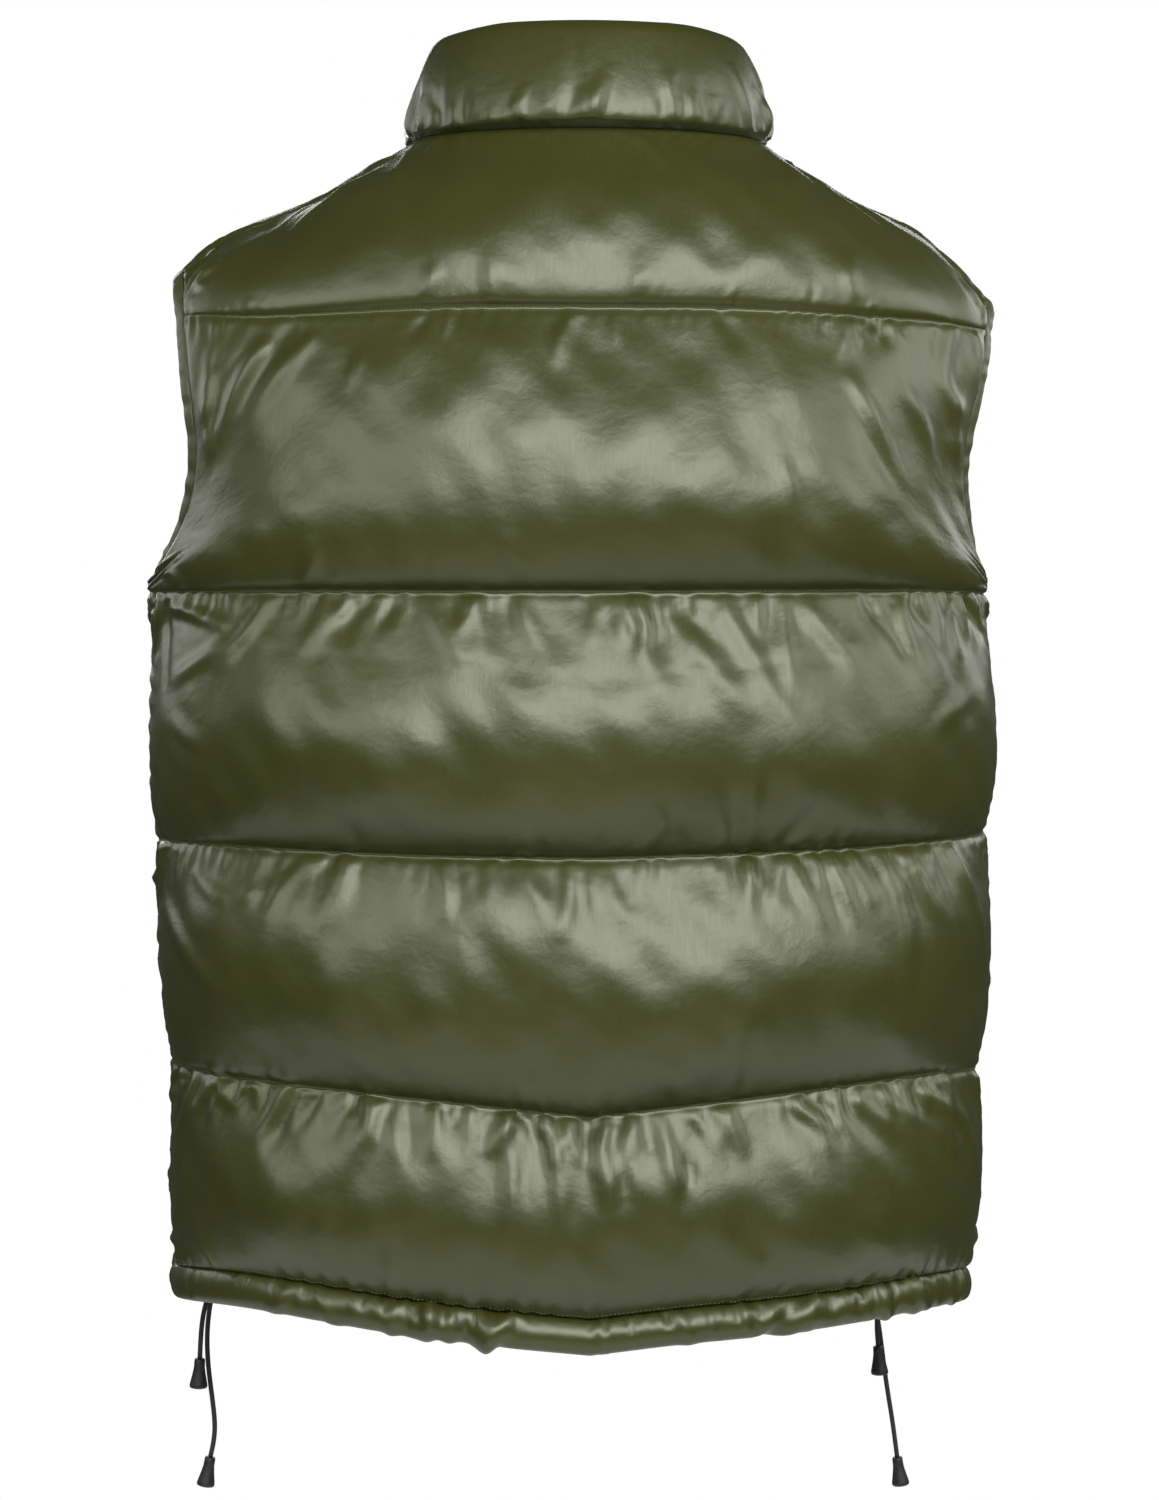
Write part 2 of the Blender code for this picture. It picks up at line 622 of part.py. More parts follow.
def add_armhole_band(cloth, side, collection):
    """Binding round one armhole: an oval strip that carries the wall on past its edge."""
    points, normals, off_cloth = cloth.armhole(side)
    forward = unit(np.roll(points, -1, axis=0) - np.roll(points, 1, axis=0))
    away = unit(np.cross(forward, normals))
    away = away * np.sign(np.sum(away * off_cloth, axis=1).sum())
    smoothed = unit(away + (np.roll(away, 1, axis=0) + np.roll(away, -1, axis=0)) / 2.0)
    lift = unit(np.cross(forward, smoothed))
    lift = lift * np.sign(np.sum(lift * normals, axis=1, keepdims=True))
    centre = points + lift * WALL / 2.0 + smoothed * (BAND_GAP + BAND_WIDTH / 2.0)
    turn = (np.arange(BAND_CORNERS) + 0.5) * 2.0 * np.pi / BAND_CORNERS
    wide = np.sign(np.cos(turn)) * np.abs(np.cos(turn)) ** BAND_SQUARENESS
    tall = np.sign(np.sin(turn)) * np.abs(np.sin(turn)) ** BAND_SQUARENESS
    wide = wide / wide.max() * BAND_WIDTH / 2.0
    tall = tall * BAND_THICKNESS / 2.0
    sections = centre[:, None] + smoothed[:, None] * wide[None, :, None]
    sections = sections + lift[:, None] * tall[None, :, None]
    name = "armhole_band_left" if side > 0 else "armhole_band_right"
    add_loft(name, sections, "binding_olive", collection, closed=True)


# Cross-section of the hem casing: share of its depth outward, share of its height down
CASING_SECTION = (
    (0.00, 0.00),
    (0.33, 0.00),
    (0.78, 0.22),
    (1.00, 0.55),
    (0.80, 0.88),
    (0.40, 1.00),
    (0.05, 0.94),
    (0.00, 0.80),
)


def add_casing(name, edge, normals, ends, collection):
    """One length of hem casing under a panel's hem edge, with its ends drawn in by half a gap."""
    edge = edge.copy()
    for end, neighbour in ends:
        edge[end] += unit(edge[neighbour] - edge[end]) * SEAM_GAP / 2.0
    outward = normals.copy()
    outward[:, 2] = 0.0
    outward = unit(outward)
    section = np.array(CASING_SECTION)
    down = np.array([0.0, 0.0, -1.0])
    turned_aside = ramp(np.abs(outward[:, 0]), 0.15, 0.95)
    depth = CASING_DEPTH + (CASING_SIDE_DEPTH - CASING_DEPTH) * turned_aside
    sections = edge[:, None] + outward[:, None] * (depth[:, None] * section[:, 0])[..., None]
    sections = sections + down * (SEAM_GAP / 2.0 + section[:, 1] * CASING_HEIGHT)[None, :, None]
    add_loft(name, sections, "shell_olive", collection)


def add_casings(cloth, collection):
    """Hem casing in three lengths, under the back and under each front."""
    both = ((0, 1), (-1, -2))
    add_casing("hem_casing_back", cloth.back[0], cloth.back_normals[0], both, collection)
    add_casing("hem_casing_left", cloth.left[0], cloth.left_normals[0], both, collection)
    add_casing("hem_casing_right", cloth.right[0], cloth.right_normals[0], both, collection)


# ---- Zip -------------------------------------------------------------------------------------------
class ZipLine:
    """The line down the centre front that tapes, chain and slider follow."""

    def __init__(self, cloth):
        """Middle of the wall at the fronts' edge, from the casing's foot to the collar's top."""
        collar, collar_normals = collar_grid(cloth)
        wall = np.concatenate([cloth.left[:, 0], collar[1:, -1]])
        normals = np.concatenate([cloth.left_normals[:, 0], collar_normals[1:, -1]])
        foot = wall[0] - np.array([0.0, 0.0, CASING_HEIGHT * 0.95])
        wall = np.vstack([foot, wall])
        normals = np.vstack([normals[0], normals])
        normals[:, 0] = 0.0
        normals = unit(normals)
        line = wall + normals * WALL / 2.0
        line[:, 0] = 0.0
        self.line = line
        steps = np.linalg.norm(np.diff(line, axis=0), axis=1)
        self.travelled = np.concatenate(([0.0], np.cumsum(steps)))
        self.length = self.travelled[-1]

    def at(self, distance):
        """Point, direction up the zip and outward direction at a distance from the foot."""
        point = np.array([np.interp(distance, self.travelled, self.line[:, i]) for i in range(3)])
        ahead = np.array([np.interp(distance + 0.002, self.travelled, self.line[:, i]) for i in range(3)])
        behind = np.array([np.interp(distance - 0.002, self.travelled, self.line[:, i]) for i in range(3)])
        up = unit(ahead - behind)
        return point, up, np.cross(up, np.array([-1.0, 0.0, 0.0]))

    def strip(self, low, high, start, end, thickness):
        """Sections of a strip from x = low to high between two distances up the line."""
        inside = [d for d in self.travelled if start + 0.001 < d < end - 0.001]
        sections = []
        for distance in (start, *inside, end):
            point, _, outward = self.at(distance)
            half = outward * thickness / 2.0
            corners = [(low, -1), (high, -1), (high, 1), (low, 1)]
            sections.append([point + np.array([x, 0.0, 0.0]) + half * s for x, s in corners])
        return np.array(sections)


def add_tapes(zip_line, collection):
    """Closed chain of teeth with a tape at each side."""
    top = zip_line.length - TAPE_END
    chain_top = zip_line.length - CHAIN_END
    low = CHAIN_HALF + SEAM_GAP
    high = OPENING_HALF - SEAM_GAP
    left = zip_line.strip(low, high, 0.0, top, TAPE_THICKNESS)
    right = zip_line.strip(-high, -low, 0.0, top, TAPE_THICKNESS)
    chain = zip_line.strip(-CHAIN_HALF, CHAIN_HALF, BOX_HEIGHT + SEAM_GAP, chain_top, CHAIN_THICKNESS)
    add_loft("zip_tape_left", left, "zip_tape_olive", collection)
    add_loft("zip_tape_right", right, "zip_tape_olive", collection)
    add_loft("zip_chain", chain, "zip_teeth_dark", collection)


def box_between(low, high):
    """Mesh of a box between two corners, made from the cube primitive."""
    work = bmesh.new()
    bmesh.ops.create_cube(work, size=1.0)
    low, high = Vector(low), Vector(high)
    size = high - low
    bmesh.ops.scale(work, vec=size, verts=work.verts)
    bmesh.ops.translate(work, vec=(low + high) / 2.0, verts=work.verts)
    return work


def join_boxes(name, boxes, material, collection, cutters, pin=None):
    """One solid from boxes, and an optional round pin along X, by exact Boolean unions."""
    pieces = []
    for number, (low, high) in enumerate(boxes):
        work = box_between(low, high)
        mesh = bpy.data.meshes.new(f"{name}_box_{number}")
        work.to_mesh(mesh)
        work.free()
        pieces.append(mesh)
    if pin is not None:
        work = bmesh.new()
        radius, half = pin
        bmesh.ops.create_cone(
            work, cap_ends=True, segments=12, radius1=radius, radius2=radius, depth=2.0 * half
        )
        across = Matrix.Rotation(math.pi / 2.0, 3, "Y")
        bmesh.ops.rotate(work, cent=(0, 0, 0), matrix=across, verts=work.verts)
        mesh = bpy.data.meshes.new(f"{name}_pin")
        work.to_mesh(mesh)
        work.free()
        pieces.append(mesh)
    base = add_object(name, pieces[0], material, collection)
    for number, mesh in enumerate(pieces[1:]):
        cutter = bpy.data.objects.new(f"{name}_joined_{number}", mesh)
        cutter.hide_render = True
        cutter.display_type = "WIRE"
        cutters.objects.link(cutter)
        union = base.modifiers.new(f"union_{number}", "BOOLEAN")
        union.operation = "UNION"
        union.solver = "EXACT"
        union.object = cutter
    return base, [cutters.objects[f"{name}_joined_{n}"] for n in range(len(pieces) - 1)]


def place(objects, point, up, outward):
    """Set objects built as x across, -y outward and z up into the zip's frame at a point."""
    across = np.cross(-outward, up)
    basis = Matrix(np.column_stack([across, -outward, up]).tolist()).to_4x4()
    basis.translation = Vector(lie(point))
    for obj in objects:
        obj.matrix_world = basis


def add_slider(zip_line, collection, cutters):
    """Slider at the head of the closed chain, with the bridge that the pull hangs in."""
    near = PLATE_CLEAR
    far = PLATE_CLEAR + PLATE_THICKNESS
    rise = far + BRIDGE_HEIGHT
    bar = rise - BRIDGE_BAR
    root = -far + JOINED
    boxes = [
        ((-PLATE_HALF, -far, PLATE_FOOT), (PLATE_HALF, -near, PLATE_TOP)),
        ((-PLATE_HALF, near, PLATE_FOOT), (PLATE_HALF, far, PLATE_TOP)),
        ((-WEDGE_HALF, -near - JOINED, SEAM_GAP), (WEDGE_HALF, near + JOINED, PLATE_TOP)),
        ((-BRIDGE_HALF, -rise, BRIDGE_FOOT), (BRIDGE_HALF, root, BRIDGE_FOOT + POST)),
        ((-BRIDGE_HALF, -rise, BRIDGE_TOP - POST), (BRIDGE_HALF, root, BRIDGE_TOP)),
        ((-BRIDGE_HALF, -rise, BRIDGE_FOOT + JOINED), (BRIDGE_HALF, -bar, BRIDGE_TOP - JOINED)),
    ]
    slider, helpers = join_boxes("zip_slider", boxes, "zip_metal_dark", collection, cutters)
    point, up, outward = zip_line.at(zip_line.length - CHAIN_END)
    place([slider, *helpers], point, up, outward)


def add_pull(zip_line, collection, cutters):
    """Pull tab: a pin under the bridge, an arm at each side and the tab; origin on the pin's axis."""
    half = PIN_RADIUS
    boxes = []
    for sign in (-1.0, 1.0):
        low, high = sorted((sign * ARM_INNER, sign * ARM_OUTER))
        boxes.append(((low, -half, TAB_TOP - 2.0 * JOINED), (high, half, half)))
    tab = TAB_THICKNESS / 2.0
    boxes.append(((-TAB_HALF, -tab, TAB_FOOT), (TAB_HALF, tab, TAB_TOP)))
    pin = (PIN_RADIUS - JOINED / 4.0, (ARM_INNER + ARM_OUTER) / 2.0)
    pull, helpers = join_boxes("zip_pull", boxes, "zip_metal_dark", collection, cutters, pin)
    point, up, outward = zip_line.at(zip_line.length - CHAIN_END)
    place([pull, *helpers], point + up * HINGE_UP + outward * HINGE_OUT, up, outward)


def add_stops(zip_line, collection, cutters):
    """Top stop on each tape above the slider, and the box that the chain starts from."""
    middle = (CHAIN_HALF + OPENING_HALF) / 2.0
    near = TAPE_THICKNESS / 2.0 + SEAM_GAP
    point, up, outward = zip_line.at(zip_line.length - TAPE_END - STOP_DROP)
    for name, x in (("zip_stop_left", middle), ("zip_stop_right", -middle)):
        box = ((x - STOP_HALF, -near - STOP_DEPTH, -STOP_HALF), (x + STOP_HALF, -near, STOP_HALF))
        stop, _ = join_boxes(name, [box], "zip_metal_dark", collection, cutters)
        place([stop], point, up, outward)
    point, up, outward = zip_line.at(0.0)
    half = CHAIN_HALF
    box = ((-half, -BOX_HALF_DEPTH, JOINED), (half, BOX_HALF_DEPTH, BOX_HEIGHT))
    retainer, _ = join_boxes("zip_box", [box], "zip_metal_dark", collection, cutters)
    place([retainer], point, up, outward)


# ---- Drawcords -------------------------------------------------------------------------------------
@dataclass(frozen=True)
class CordEnd:
    """One free end of a drawcord, by its exit on the hem and the way it hangs.

    The route's points and the foot are given as (aside, height): how far out from the hanging
    point under the eyelet, and the height.
    """

    name: str
    exit_x: float
    beside: float  # how far along the hem from the eyelet's middle
    splay: float  # how far toward the back the cord swings
    route: tuple
    foot: tuple  # the middle of the cord end's foot


CORDS = (
    CordEnd(
        "left_long",
        0.2310,
        0.00165,
        -0.0020,
        ((0.0000, -0.6740), (0.0018, -0.6925), (0.0010, -0.7130), (-0.0020, -0.7380), (-0.0026, -0.7540)),
        (0.0030, -0.7857),
    ),
    CordEnd(
        "left_short",
        0.2310,
        -0.00165,
        0.0050,
        ((0.0020, -0.6740), (0.0042, -0.6900)),
        (0.0058, -0.7223),
    ),
    CordEnd(
        "right_long",
        -0.2065,
        0.00165,
        -0.0020,
        ((0.0025, -0.6980), (0.0060, -0.7231), (0.0090, -0.7450), (0.0115, -0.7605)),
        (0.0175, -0.8048),
    ),
    CordEnd(
        "right_short",
        -0.2065,
        -0.00165,
        0.0050,
        ((-0.0015, -0.6850), (-0.0018, -0.7000)),
        (0.0000, -0.7313),
    ),
)


class HemExit:
    """Where one side's cords leave the casing: a place on its inner face and its directions."""

    def __init__(self, cloth, exit_x):
        """Find the hem edge at exit_x, half-way down the casing."""
        front = cloth.left if exit_x > 0 else cloth.right
        normals = cloth.left_normals if exit_x > 0 else cloth.right_normals
        edge = front[0]
        order = np.argsort(np.abs(edge[:, 0]))
        reach = np.abs(edge[order, 0])
        self.point = np.array([np.interp(abs(exit_x), reach, edge[order, i]) for i in range(3)])
        outward = np.array([np.interp(abs(exit_x), reach, normals[0, order, i]) for i in range(3)])
        outward[2] = 0.0
        self.outward = unit(outward)
        self.beside = np.cross(np.array([0.0, 0.0, 1.0]), self.outward)
        if self.beside[1] > 0.0:
            self.beside = -self.beside
        self.point[2] -= CASING_HEIGHT * CASING_MIDDLE


def turned(name, profile, material, collection, closed=False):
    """Solid of revolution about Z from a profile of (radius, height) that runs down its outside."""
    mesh = bpy.data.meshes.new(name)
    count = len(profile)
    edges = [(i, i + 1) for i in range(count - 1)]
    if closed:
        edges.append((count - 1, 0))
    mesh.from_pydata([(r, 0.0, z) for r, z in profile], edges, [])
    obj = add_object(name, mesh, material, collection)
    screw = obj.modifiers.new("turn", "SCREW")
    screw.angle = 2.0 * math.pi
    screw.steps = 20
    screw.render_steps = 20
    screw.use_merge_vertices = True
    screw.merge_threshold = 0.00001
    screw.use_smooth_shade = True
    screw.use_normal_calculate = True
    return obj


def add_eyelet(cloth, name, exit_x, collection):
    """Flat ring against the casing's inner face, its axis along the cloth's normal."""
    hem_exit = HemExit(cloth, exit_x)
    half = EYELET_THICKNESS / 2.0
    lip = EYELET_LIP
    profile = (
        (EYELET_OUTER - lip, half),
        (EYELET_OUTER, half - lip),
        (EYELET_OUTER, lip - half),
        (EYELET_OUTER - lip, -half),
        (EYELET_INNER + lip, -half),
        (EYELET_INNER, lip - half),
        (EYELET_INNER, half - lip),
        (EYELET_INNER + lip, half),
    )
    ring = turned(name, profile, "zip_metal_dark", collection, closed=True)
    ring.location = Vector(hem_exit.point - hem_exit.outward * (EYELET_CLEARANCE + half))
    ring.rotation_mode = "QUATERNION"
    ring.rotation_quaternion = Vector(hem_exit.outward).to_track_quat("Z", "Y")


def cord_route(cloth, cord):
    """Points of one cord, from the casing through the eyelet and down to the cord end."""
    hem_exit = HemExit(cloth, cord.exit_x)
    start = hem_exit.point + hem_exit.beside * cord.beside
    inward = -hem_exit.outward
    knots = [start + inward * CORD_START, start + inward * EXIT_STRAIGHT]
    hang = start + inward * EXIT_REACH
    knots.append(hang - np.array([0.0, 0.0, EXIT_FALL]))
    out = math.copysign(1.0, cord.exit_x)
    spots = [np.array([hang[0] + out * x, hang[1] + cord.splay, z]) for x, z in (*cord.route, cord.foot)]
    knots += spots[:-1]
    foot = spots[-1]
    fall = unit(foot - knots[-1])
    knots.append(foot - fall * (CORD_END_LENGTH + SEAM_GAP))
    knots = np.array(knots)
    steps = np.linalg.norm(np.diff(knots, axis=0), axis=1)
    travelled = np.concatenate(([0.0], np.cumsum(steps)))
    count = max(8, int(travelled[-1] / CORD_STEP))
    dense = smooth(travelled, knots, np.linspace(0.0, travelled[-1], count * 12 + 1))
    return along(dense, np.linspace(0.0, 1.0, count + 1)), foot


def add_cord(cloth, cord, collection):
    """One cord as a round tube, and the bell-shaped end that it runs into."""
    points, foot = cord_route(cloth, cord)
    curve = bpy.data.curves.new(f"cord_{cord.name}", "CURVE")
    curve.dimensions = "3D"
    curve.bevel_depth = CORD_DIAMETER / 2.0
    curve.bevel_resolution = 2
    curve.use_fill_caps = True
    spline = curve.splines.new("POLY")
    spline.points.add(len(points) - 1)
    for point, place_at in zip(spline.points, points):
        point.co = (*place_at, 1.0)
    add_object(f"cord_{cord.name}", curve, "cord_black", collection)
    length = CORD_END_LENGTH
    profile = (
        (0.0, length),
        (CORD_END_TOP - 0.0006, length),
        (CORD_END_TOP, length - 0.0006),
        (CORD_END_TOP + 0.0002, length * 0.70),
        (CORD_END_FOOT * 0.82, length * 0.36),
        (CORD_END_FOOT, length * 0.10),
        (CORD_END_FOOT, 0.0008),
        (CORD_END_FOOT - 0.0008, 0.0),
        (0.0, 0.0),
    )
    bell = turned(f"cord_end_{cord.name}", profile, "cord_end_black", collection)
    bell.location = Vector(foot)
    bell.rotation_mode = "QUATERNION"
    bell.rotation_quaternion = Vector(points[-1] - foot).to_track_quat("Z", "Y")


# ---- Assembly --------------------------------------------------------------------------------------
def clear_scene():
    """Remove the objects that the scene starts with."""
    for obj in list(bpy.data.objects):
        bpy.data.objects.remove(obj, do_unlink=True)


def add_collection(name):
    """New collection in the scene."""
    collection = bpy.data.collections.new(name)
    bpy.context.scene.collection.children.link(collection)
    return collection


def main():
    """Build the vest, piece by piece."""
    clear_scene()
    vest = add_collection("puffer_vest")
    cutters = add_collection("joined_shapes")
    cloth = Cloth()
    add_panels(cloth, vest)
    add_collar(cloth, vest)
    for side in (1, -1):
        add_armhole_band(cloth, side, vest)
    add_casings(cloth, vest)
    zip_line = ZipLine(cloth)
    add_tapes(zip_line, vest)
    add_slider(zip_line, vest, cutters)
    add_pull(zip_line, vest, cutters)
    add_stops(zip_line, vest, cutters)
    add_eyelet(cloth, "cord_eyelet_left", CORDS[0].exit_x, vest)
    add_eyelet(cloth, "cord_eyelet_right", CORDS[2].exit_x, vest)
    for cord in CORDS:
        add_cord(cloth, cord, vest)


if __name__ == "__main__":
    main()
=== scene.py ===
"""Looks of the padded vest: shell cloth, sewing, zip teeth, drawcords, studio and camera.

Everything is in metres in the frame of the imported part: +Z up, the front faces -Y and +X is the
wearer's left. The cloth is worked out again from the cut's own sizes, finer than in the solids: an
inside surface of two parameters, moved out along its normals by the filling and by the folds that the
sewing gathers into it. The outer cloth then settles: it is a grid of threads with spare length beside
its seams, which the filling pushes out and which get back their lengths in turns.
"""

from __future__ import annotations

import json
import logging
import math
from dataclasses import dataclass
from enum import Enum

import bpy
import numpy as np
from bpy.types import Material, Node, NodeSocket, NodeTree, Object
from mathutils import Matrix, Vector

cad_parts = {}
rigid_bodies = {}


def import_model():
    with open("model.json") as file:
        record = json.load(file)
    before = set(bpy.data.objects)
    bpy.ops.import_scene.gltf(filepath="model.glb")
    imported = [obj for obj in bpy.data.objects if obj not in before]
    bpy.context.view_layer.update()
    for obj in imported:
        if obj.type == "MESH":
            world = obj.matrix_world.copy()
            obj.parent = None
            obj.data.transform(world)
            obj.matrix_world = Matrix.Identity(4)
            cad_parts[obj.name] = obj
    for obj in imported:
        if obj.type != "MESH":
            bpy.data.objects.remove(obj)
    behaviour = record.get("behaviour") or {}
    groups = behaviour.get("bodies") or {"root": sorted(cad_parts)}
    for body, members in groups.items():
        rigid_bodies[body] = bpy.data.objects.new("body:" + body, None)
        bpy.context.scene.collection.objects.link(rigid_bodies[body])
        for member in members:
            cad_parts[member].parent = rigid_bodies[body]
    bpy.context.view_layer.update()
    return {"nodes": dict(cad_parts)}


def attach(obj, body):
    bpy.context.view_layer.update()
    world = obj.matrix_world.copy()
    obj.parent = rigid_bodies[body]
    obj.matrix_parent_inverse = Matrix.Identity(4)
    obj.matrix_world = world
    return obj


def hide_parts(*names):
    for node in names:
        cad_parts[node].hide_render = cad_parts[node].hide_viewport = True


Array = np.ndarray
log = logging.getLogger("vest")

VEST_BODY = "vest"


class Slot(str, Enum):
    """Material slots of the record; each piece is passed one."""

    SHELL = "shell_olive"
    BINDING = "binding_olive"
    TAPE = "zip_tape_olive"
    TEETH = "zip_teeth_dark"
    METAL = "zip_metal_dark"
    CORD = "cord_black"
    CORD_END = "cord_end_black"


# ---- Curves and arrays ----
def spline(knots: Array, values: Array, at: Array) -> Array:
    """Natural cubic spline.

    Args:
        knots: Increasing places of the knots.
        values: A value or row of values for each knot.
        at: Places to read the curve at.

    Returns:
        The values at those places, one row for each.
    """
    knots = np.asarray(knots, float)
    values = np.asarray(values, float)
    at = np.atleast_1d(np.asarray(at, float))
    flat = values.reshape(len(knots), -1)
    step = np.diff(knots)
    slope = np.diff(flat, axis=0) / step[:, None]
    system = np.eye(len(knots))
    pull = np.zeros_like(flat)
    for i in range(1, len(knots) - 1):
        system[i, i - 1 : i + 2] = step[i - 1], 2.0 * (step[i - 1] + step[i]), step[i]
        pull[i] = 6.0 * (slope[i] - slope[i - 1])
    bend = np.linalg.solve(system, pull)
    span = np.clip(np.searchsorted(knots, at, side="right") - 1, 0, len(step) - 1)
    before = ((knots[span + 1] - at) / step[span])[:, None]
    after = 1.0 - before
    square = (step[span] ** 2)[:, None] / 6.0
    curve = before * flat[span] + after * flat[span + 1]
    curve += ((before**3 - before) * bend[span] + (after**3 - after) * bend[span + 1]) * square
    return curve.reshape((len(at),) + values.shape[1:])


def ramp(value: Array, start: float, end: float) -> Array:
    """Soft step: 0 before start, 1 past end, 3t^2 - 2t^3 between."""
    t = np.clip((np.asarray(value, float) - start) / (end - start), 0.0, 1.0)
    return t * t * (3.0 - 2.0 * t)


def unit(vectors: Array) -> Array:
    """The vectors at length 1."""
    return vectors / np.maximum(np.linalg.norm(vectors, axis=-1, keepdims=True), 1e-12)


def travelled(points: Array, axis: int = 0) -> Array:
    """Distance travelled along a line, or along each line of a grid, from its first point."""
    steps = np.linalg.norm(np.diff(points, axis=axis), axis=-1)
    start = np.zeros_like(np.take(steps, [0], axis=axis))
    return np.concatenate([start, np.cumsum(steps, axis=axis)], axis=axis)


def read(at: Array | float, places: Array, points: Array) -> Array:
    """Points read at some places along a line, straight between the line's own points."""
    return np.stack([np.interp(at, places, values) for values in points.T], axis=-1)


def along(points: Array, shares: Array) -> Array:
    """Points at the given shares of a polyline's length."""
    way = travelled(points)
    return read(np.asarray(shares) * way[-1], way, points)


def hermite(t: Array, start: Array, leave: Array, end: Array, arrive: Array) -> Array:
    """Cubic Hermite curve: it leaves the start one way and arrives at the end another way."""
    curve = (2 * t**3 - 3 * t**2 + 1) * start + (t**3 - 2 * t**2 + t) * leave
    return curve + (3 * t**2 - 2 * t**3) * end + (t**3 - t**2) * arrive


def round_angles(count: int) -> Array:
    """Angles of evenly spaced points round a circle."""
    return np.arange(count) * 2.0 * math.pi / count


def grid_normals(grid: Array) -> Array:
    """Normals of a grid of points, not at length 1: the cross product of its two gradients."""
    return np.cross(np.gradient(grid, axis=1), np.gradient(grid, axis=0))


def keep_clear(outer: Array, inner: Array, normals: Array, least: float) -> Array:
    """Outer points, lifted where they stand less than the least thickness above the inner ones."""
    lift = np.sum((outer - inner) * normals, axis=-1)
    return outer + normals * np.maximum(0.0, least - lift)[..., None]


def bulge(share: Array, rise: Array | float, fall: Array | float) -> Array:
    """Profile s^a (1-s)^b over its own highest value: 0 at both ends and 1 at a / (a + b)."""
    s = np.clip(share, 0.0, 1.0)
    top = rise / (rise + fall)
    return s**rise * (1.0 - s) ** fall / (top**rise * (1.0 - top) ** fall)


def soft_noise(x: Array, y: Array, scale: float, seed: int, waves: int = 9) -> Array:
    """Smooth noise of about unit size: a sum of plane waves with seeded ways, lengths and phases.

    Args:
        x: First coordinate, in metres.
        y: Second coordinate, in metres.
        scale: Usual wavelength, in metres.
        seed: Number that fixes the waves.
        waves: How many waves are summed.

    Returns:
        The noise, shaped as x.
    """
    rng = np.random.default_rng(seed)
    way = rng.uniform(0.0, 2.0 * math.pi, waves)
    pace = 2.0 * math.pi / (scale * rng.uniform(0.65, 1.6, waves))
    phase = rng.uniform(0.0, 2.0 * math.pi, waves)
    total = np.zeros(np.broadcast(x, y).shape)
    for w, k, p in zip(way, pace, phase):
        total += np.sin(k * (np.cos(w) * x + np.sin(w) * y) + p)
    return total * math.sqrt(2.0 / waves)


def noises(x: Array, y: Array, *parts: tuple[float, float, float, int]) -> Array:
    """Sum of soft noises, each given by its size, its share of y, its wavelength and its seed."""
    return sum(size * soft_noise(x, y * share, scale, seed) for size, share, scale, seed in parts)


# ---- The cut and its inside form ----
@dataclass(frozen=True)
class Face:
    """One side of the body, back or front, from its middle edge out to side seam and armhole."""

    facing: int  # +1 for the back, -1 for the front
    heights: tuple[float, ...]  # middle heights of hem, fourth, third, second and first seam
    lifts: tuple[tuple[float, float], ...]  # how far each lies above that, nearer and farther out
    depths: tuple[float, ...]  # distance from the body's middle plane at the same seams
    middle: float  # x of the middle edge
    first_angle: float  # where the first seam meets the armhole, degrees round from the underarm
    last_share: float  # share of the fourth baffle below its top that gives the yoke its start
    lofts: tuple[float, ...]  # loft of each baffle above the flattened wall, hem to shoulder


@dataclass(frozen=True)
class Cut:
    """Driving sizes of the garment."""

    wall: float = 0.004
    squareness: float = 2.3  # power of the superellipse that the body's level sections follow
    opening_half: float = 0.0100
    side_left: tuple[float, ...] = (-0.6390, -0.5130, -0.3800, -0.2315)  # heights at the side seam
    side_right: tuple[float, ...] = (-0.6390, -0.5220, -0.3775, -0.2345)
    width_left: tuple[float, ...] = (0.2365, 0.2385, 0.2465, 0.2475)
    width_right: tuple[float, ...] = (0.2375, 0.2430, 0.2475, 0.2475)
    lift_near: float = 0.36
    lift_far: float = 0.66
    armhole_shares: tuple[float, ...] = (0.00, 0.10, 0.28, 0.45, 0.65, 0.82, 1.00)
    armhole_widths: tuple[float, ...] = (0.2475, 0.2385, 0.2265, 0.2240, 0.2300, 0.2355, 0.2410)
    armhole_height: float = 0.1875
    armhole_back_reach: float = 0.075
    armhole_front_reach: float = 0.085
    armhole_front_cut: float = 0.012
    shoulder_seam_angle: float = 155.0
    neck_half_width: float = 0.1030
    neck_back: float = 0.0780
    neck_front: float = 0.0880
    neck_height: float = 0.0400
    neck_front_drop: float = 0.0720
    neck_point_angle: float = 83.0
    shoulder_points: tuple[tuple[float, float, float], ...] = (
        (0.172, 0.012, -0.0028),
        (0.2175, 0.019, -0.0280),
    )
    neck_share: float = 5.0 / 12.0  # share of the columns that end on the neck seam
    even_reach: float = 0.14  # share of the front's columns evened out on each side of the neck point
    neck_fan: float = 0.18  # how much the cloth spreads as it meets the neck
    outward_fall: float = 0.42  # slope outward on the shoulder
    ridge_fall: float = -0.30  # slope over the shoulder's ridge, and how fast it changes
    rounding: float = 14.0
    neck_fade_width: float = 0.032  # width over which the filling thins out toward the neck
    yoke_start_pull: float = 1.15  # how far the yoke's columns run on in their first and last way
    yoke_end_pull: float = 0.80
    side_loss: float = 0.78  # share of the filling that is missing at a side edge
    side_loss_start: float = 0.40
    casing_height: float = 0.0200
    casing_depth: float = 0.0115
    casing_side_depth: float = 0.0065


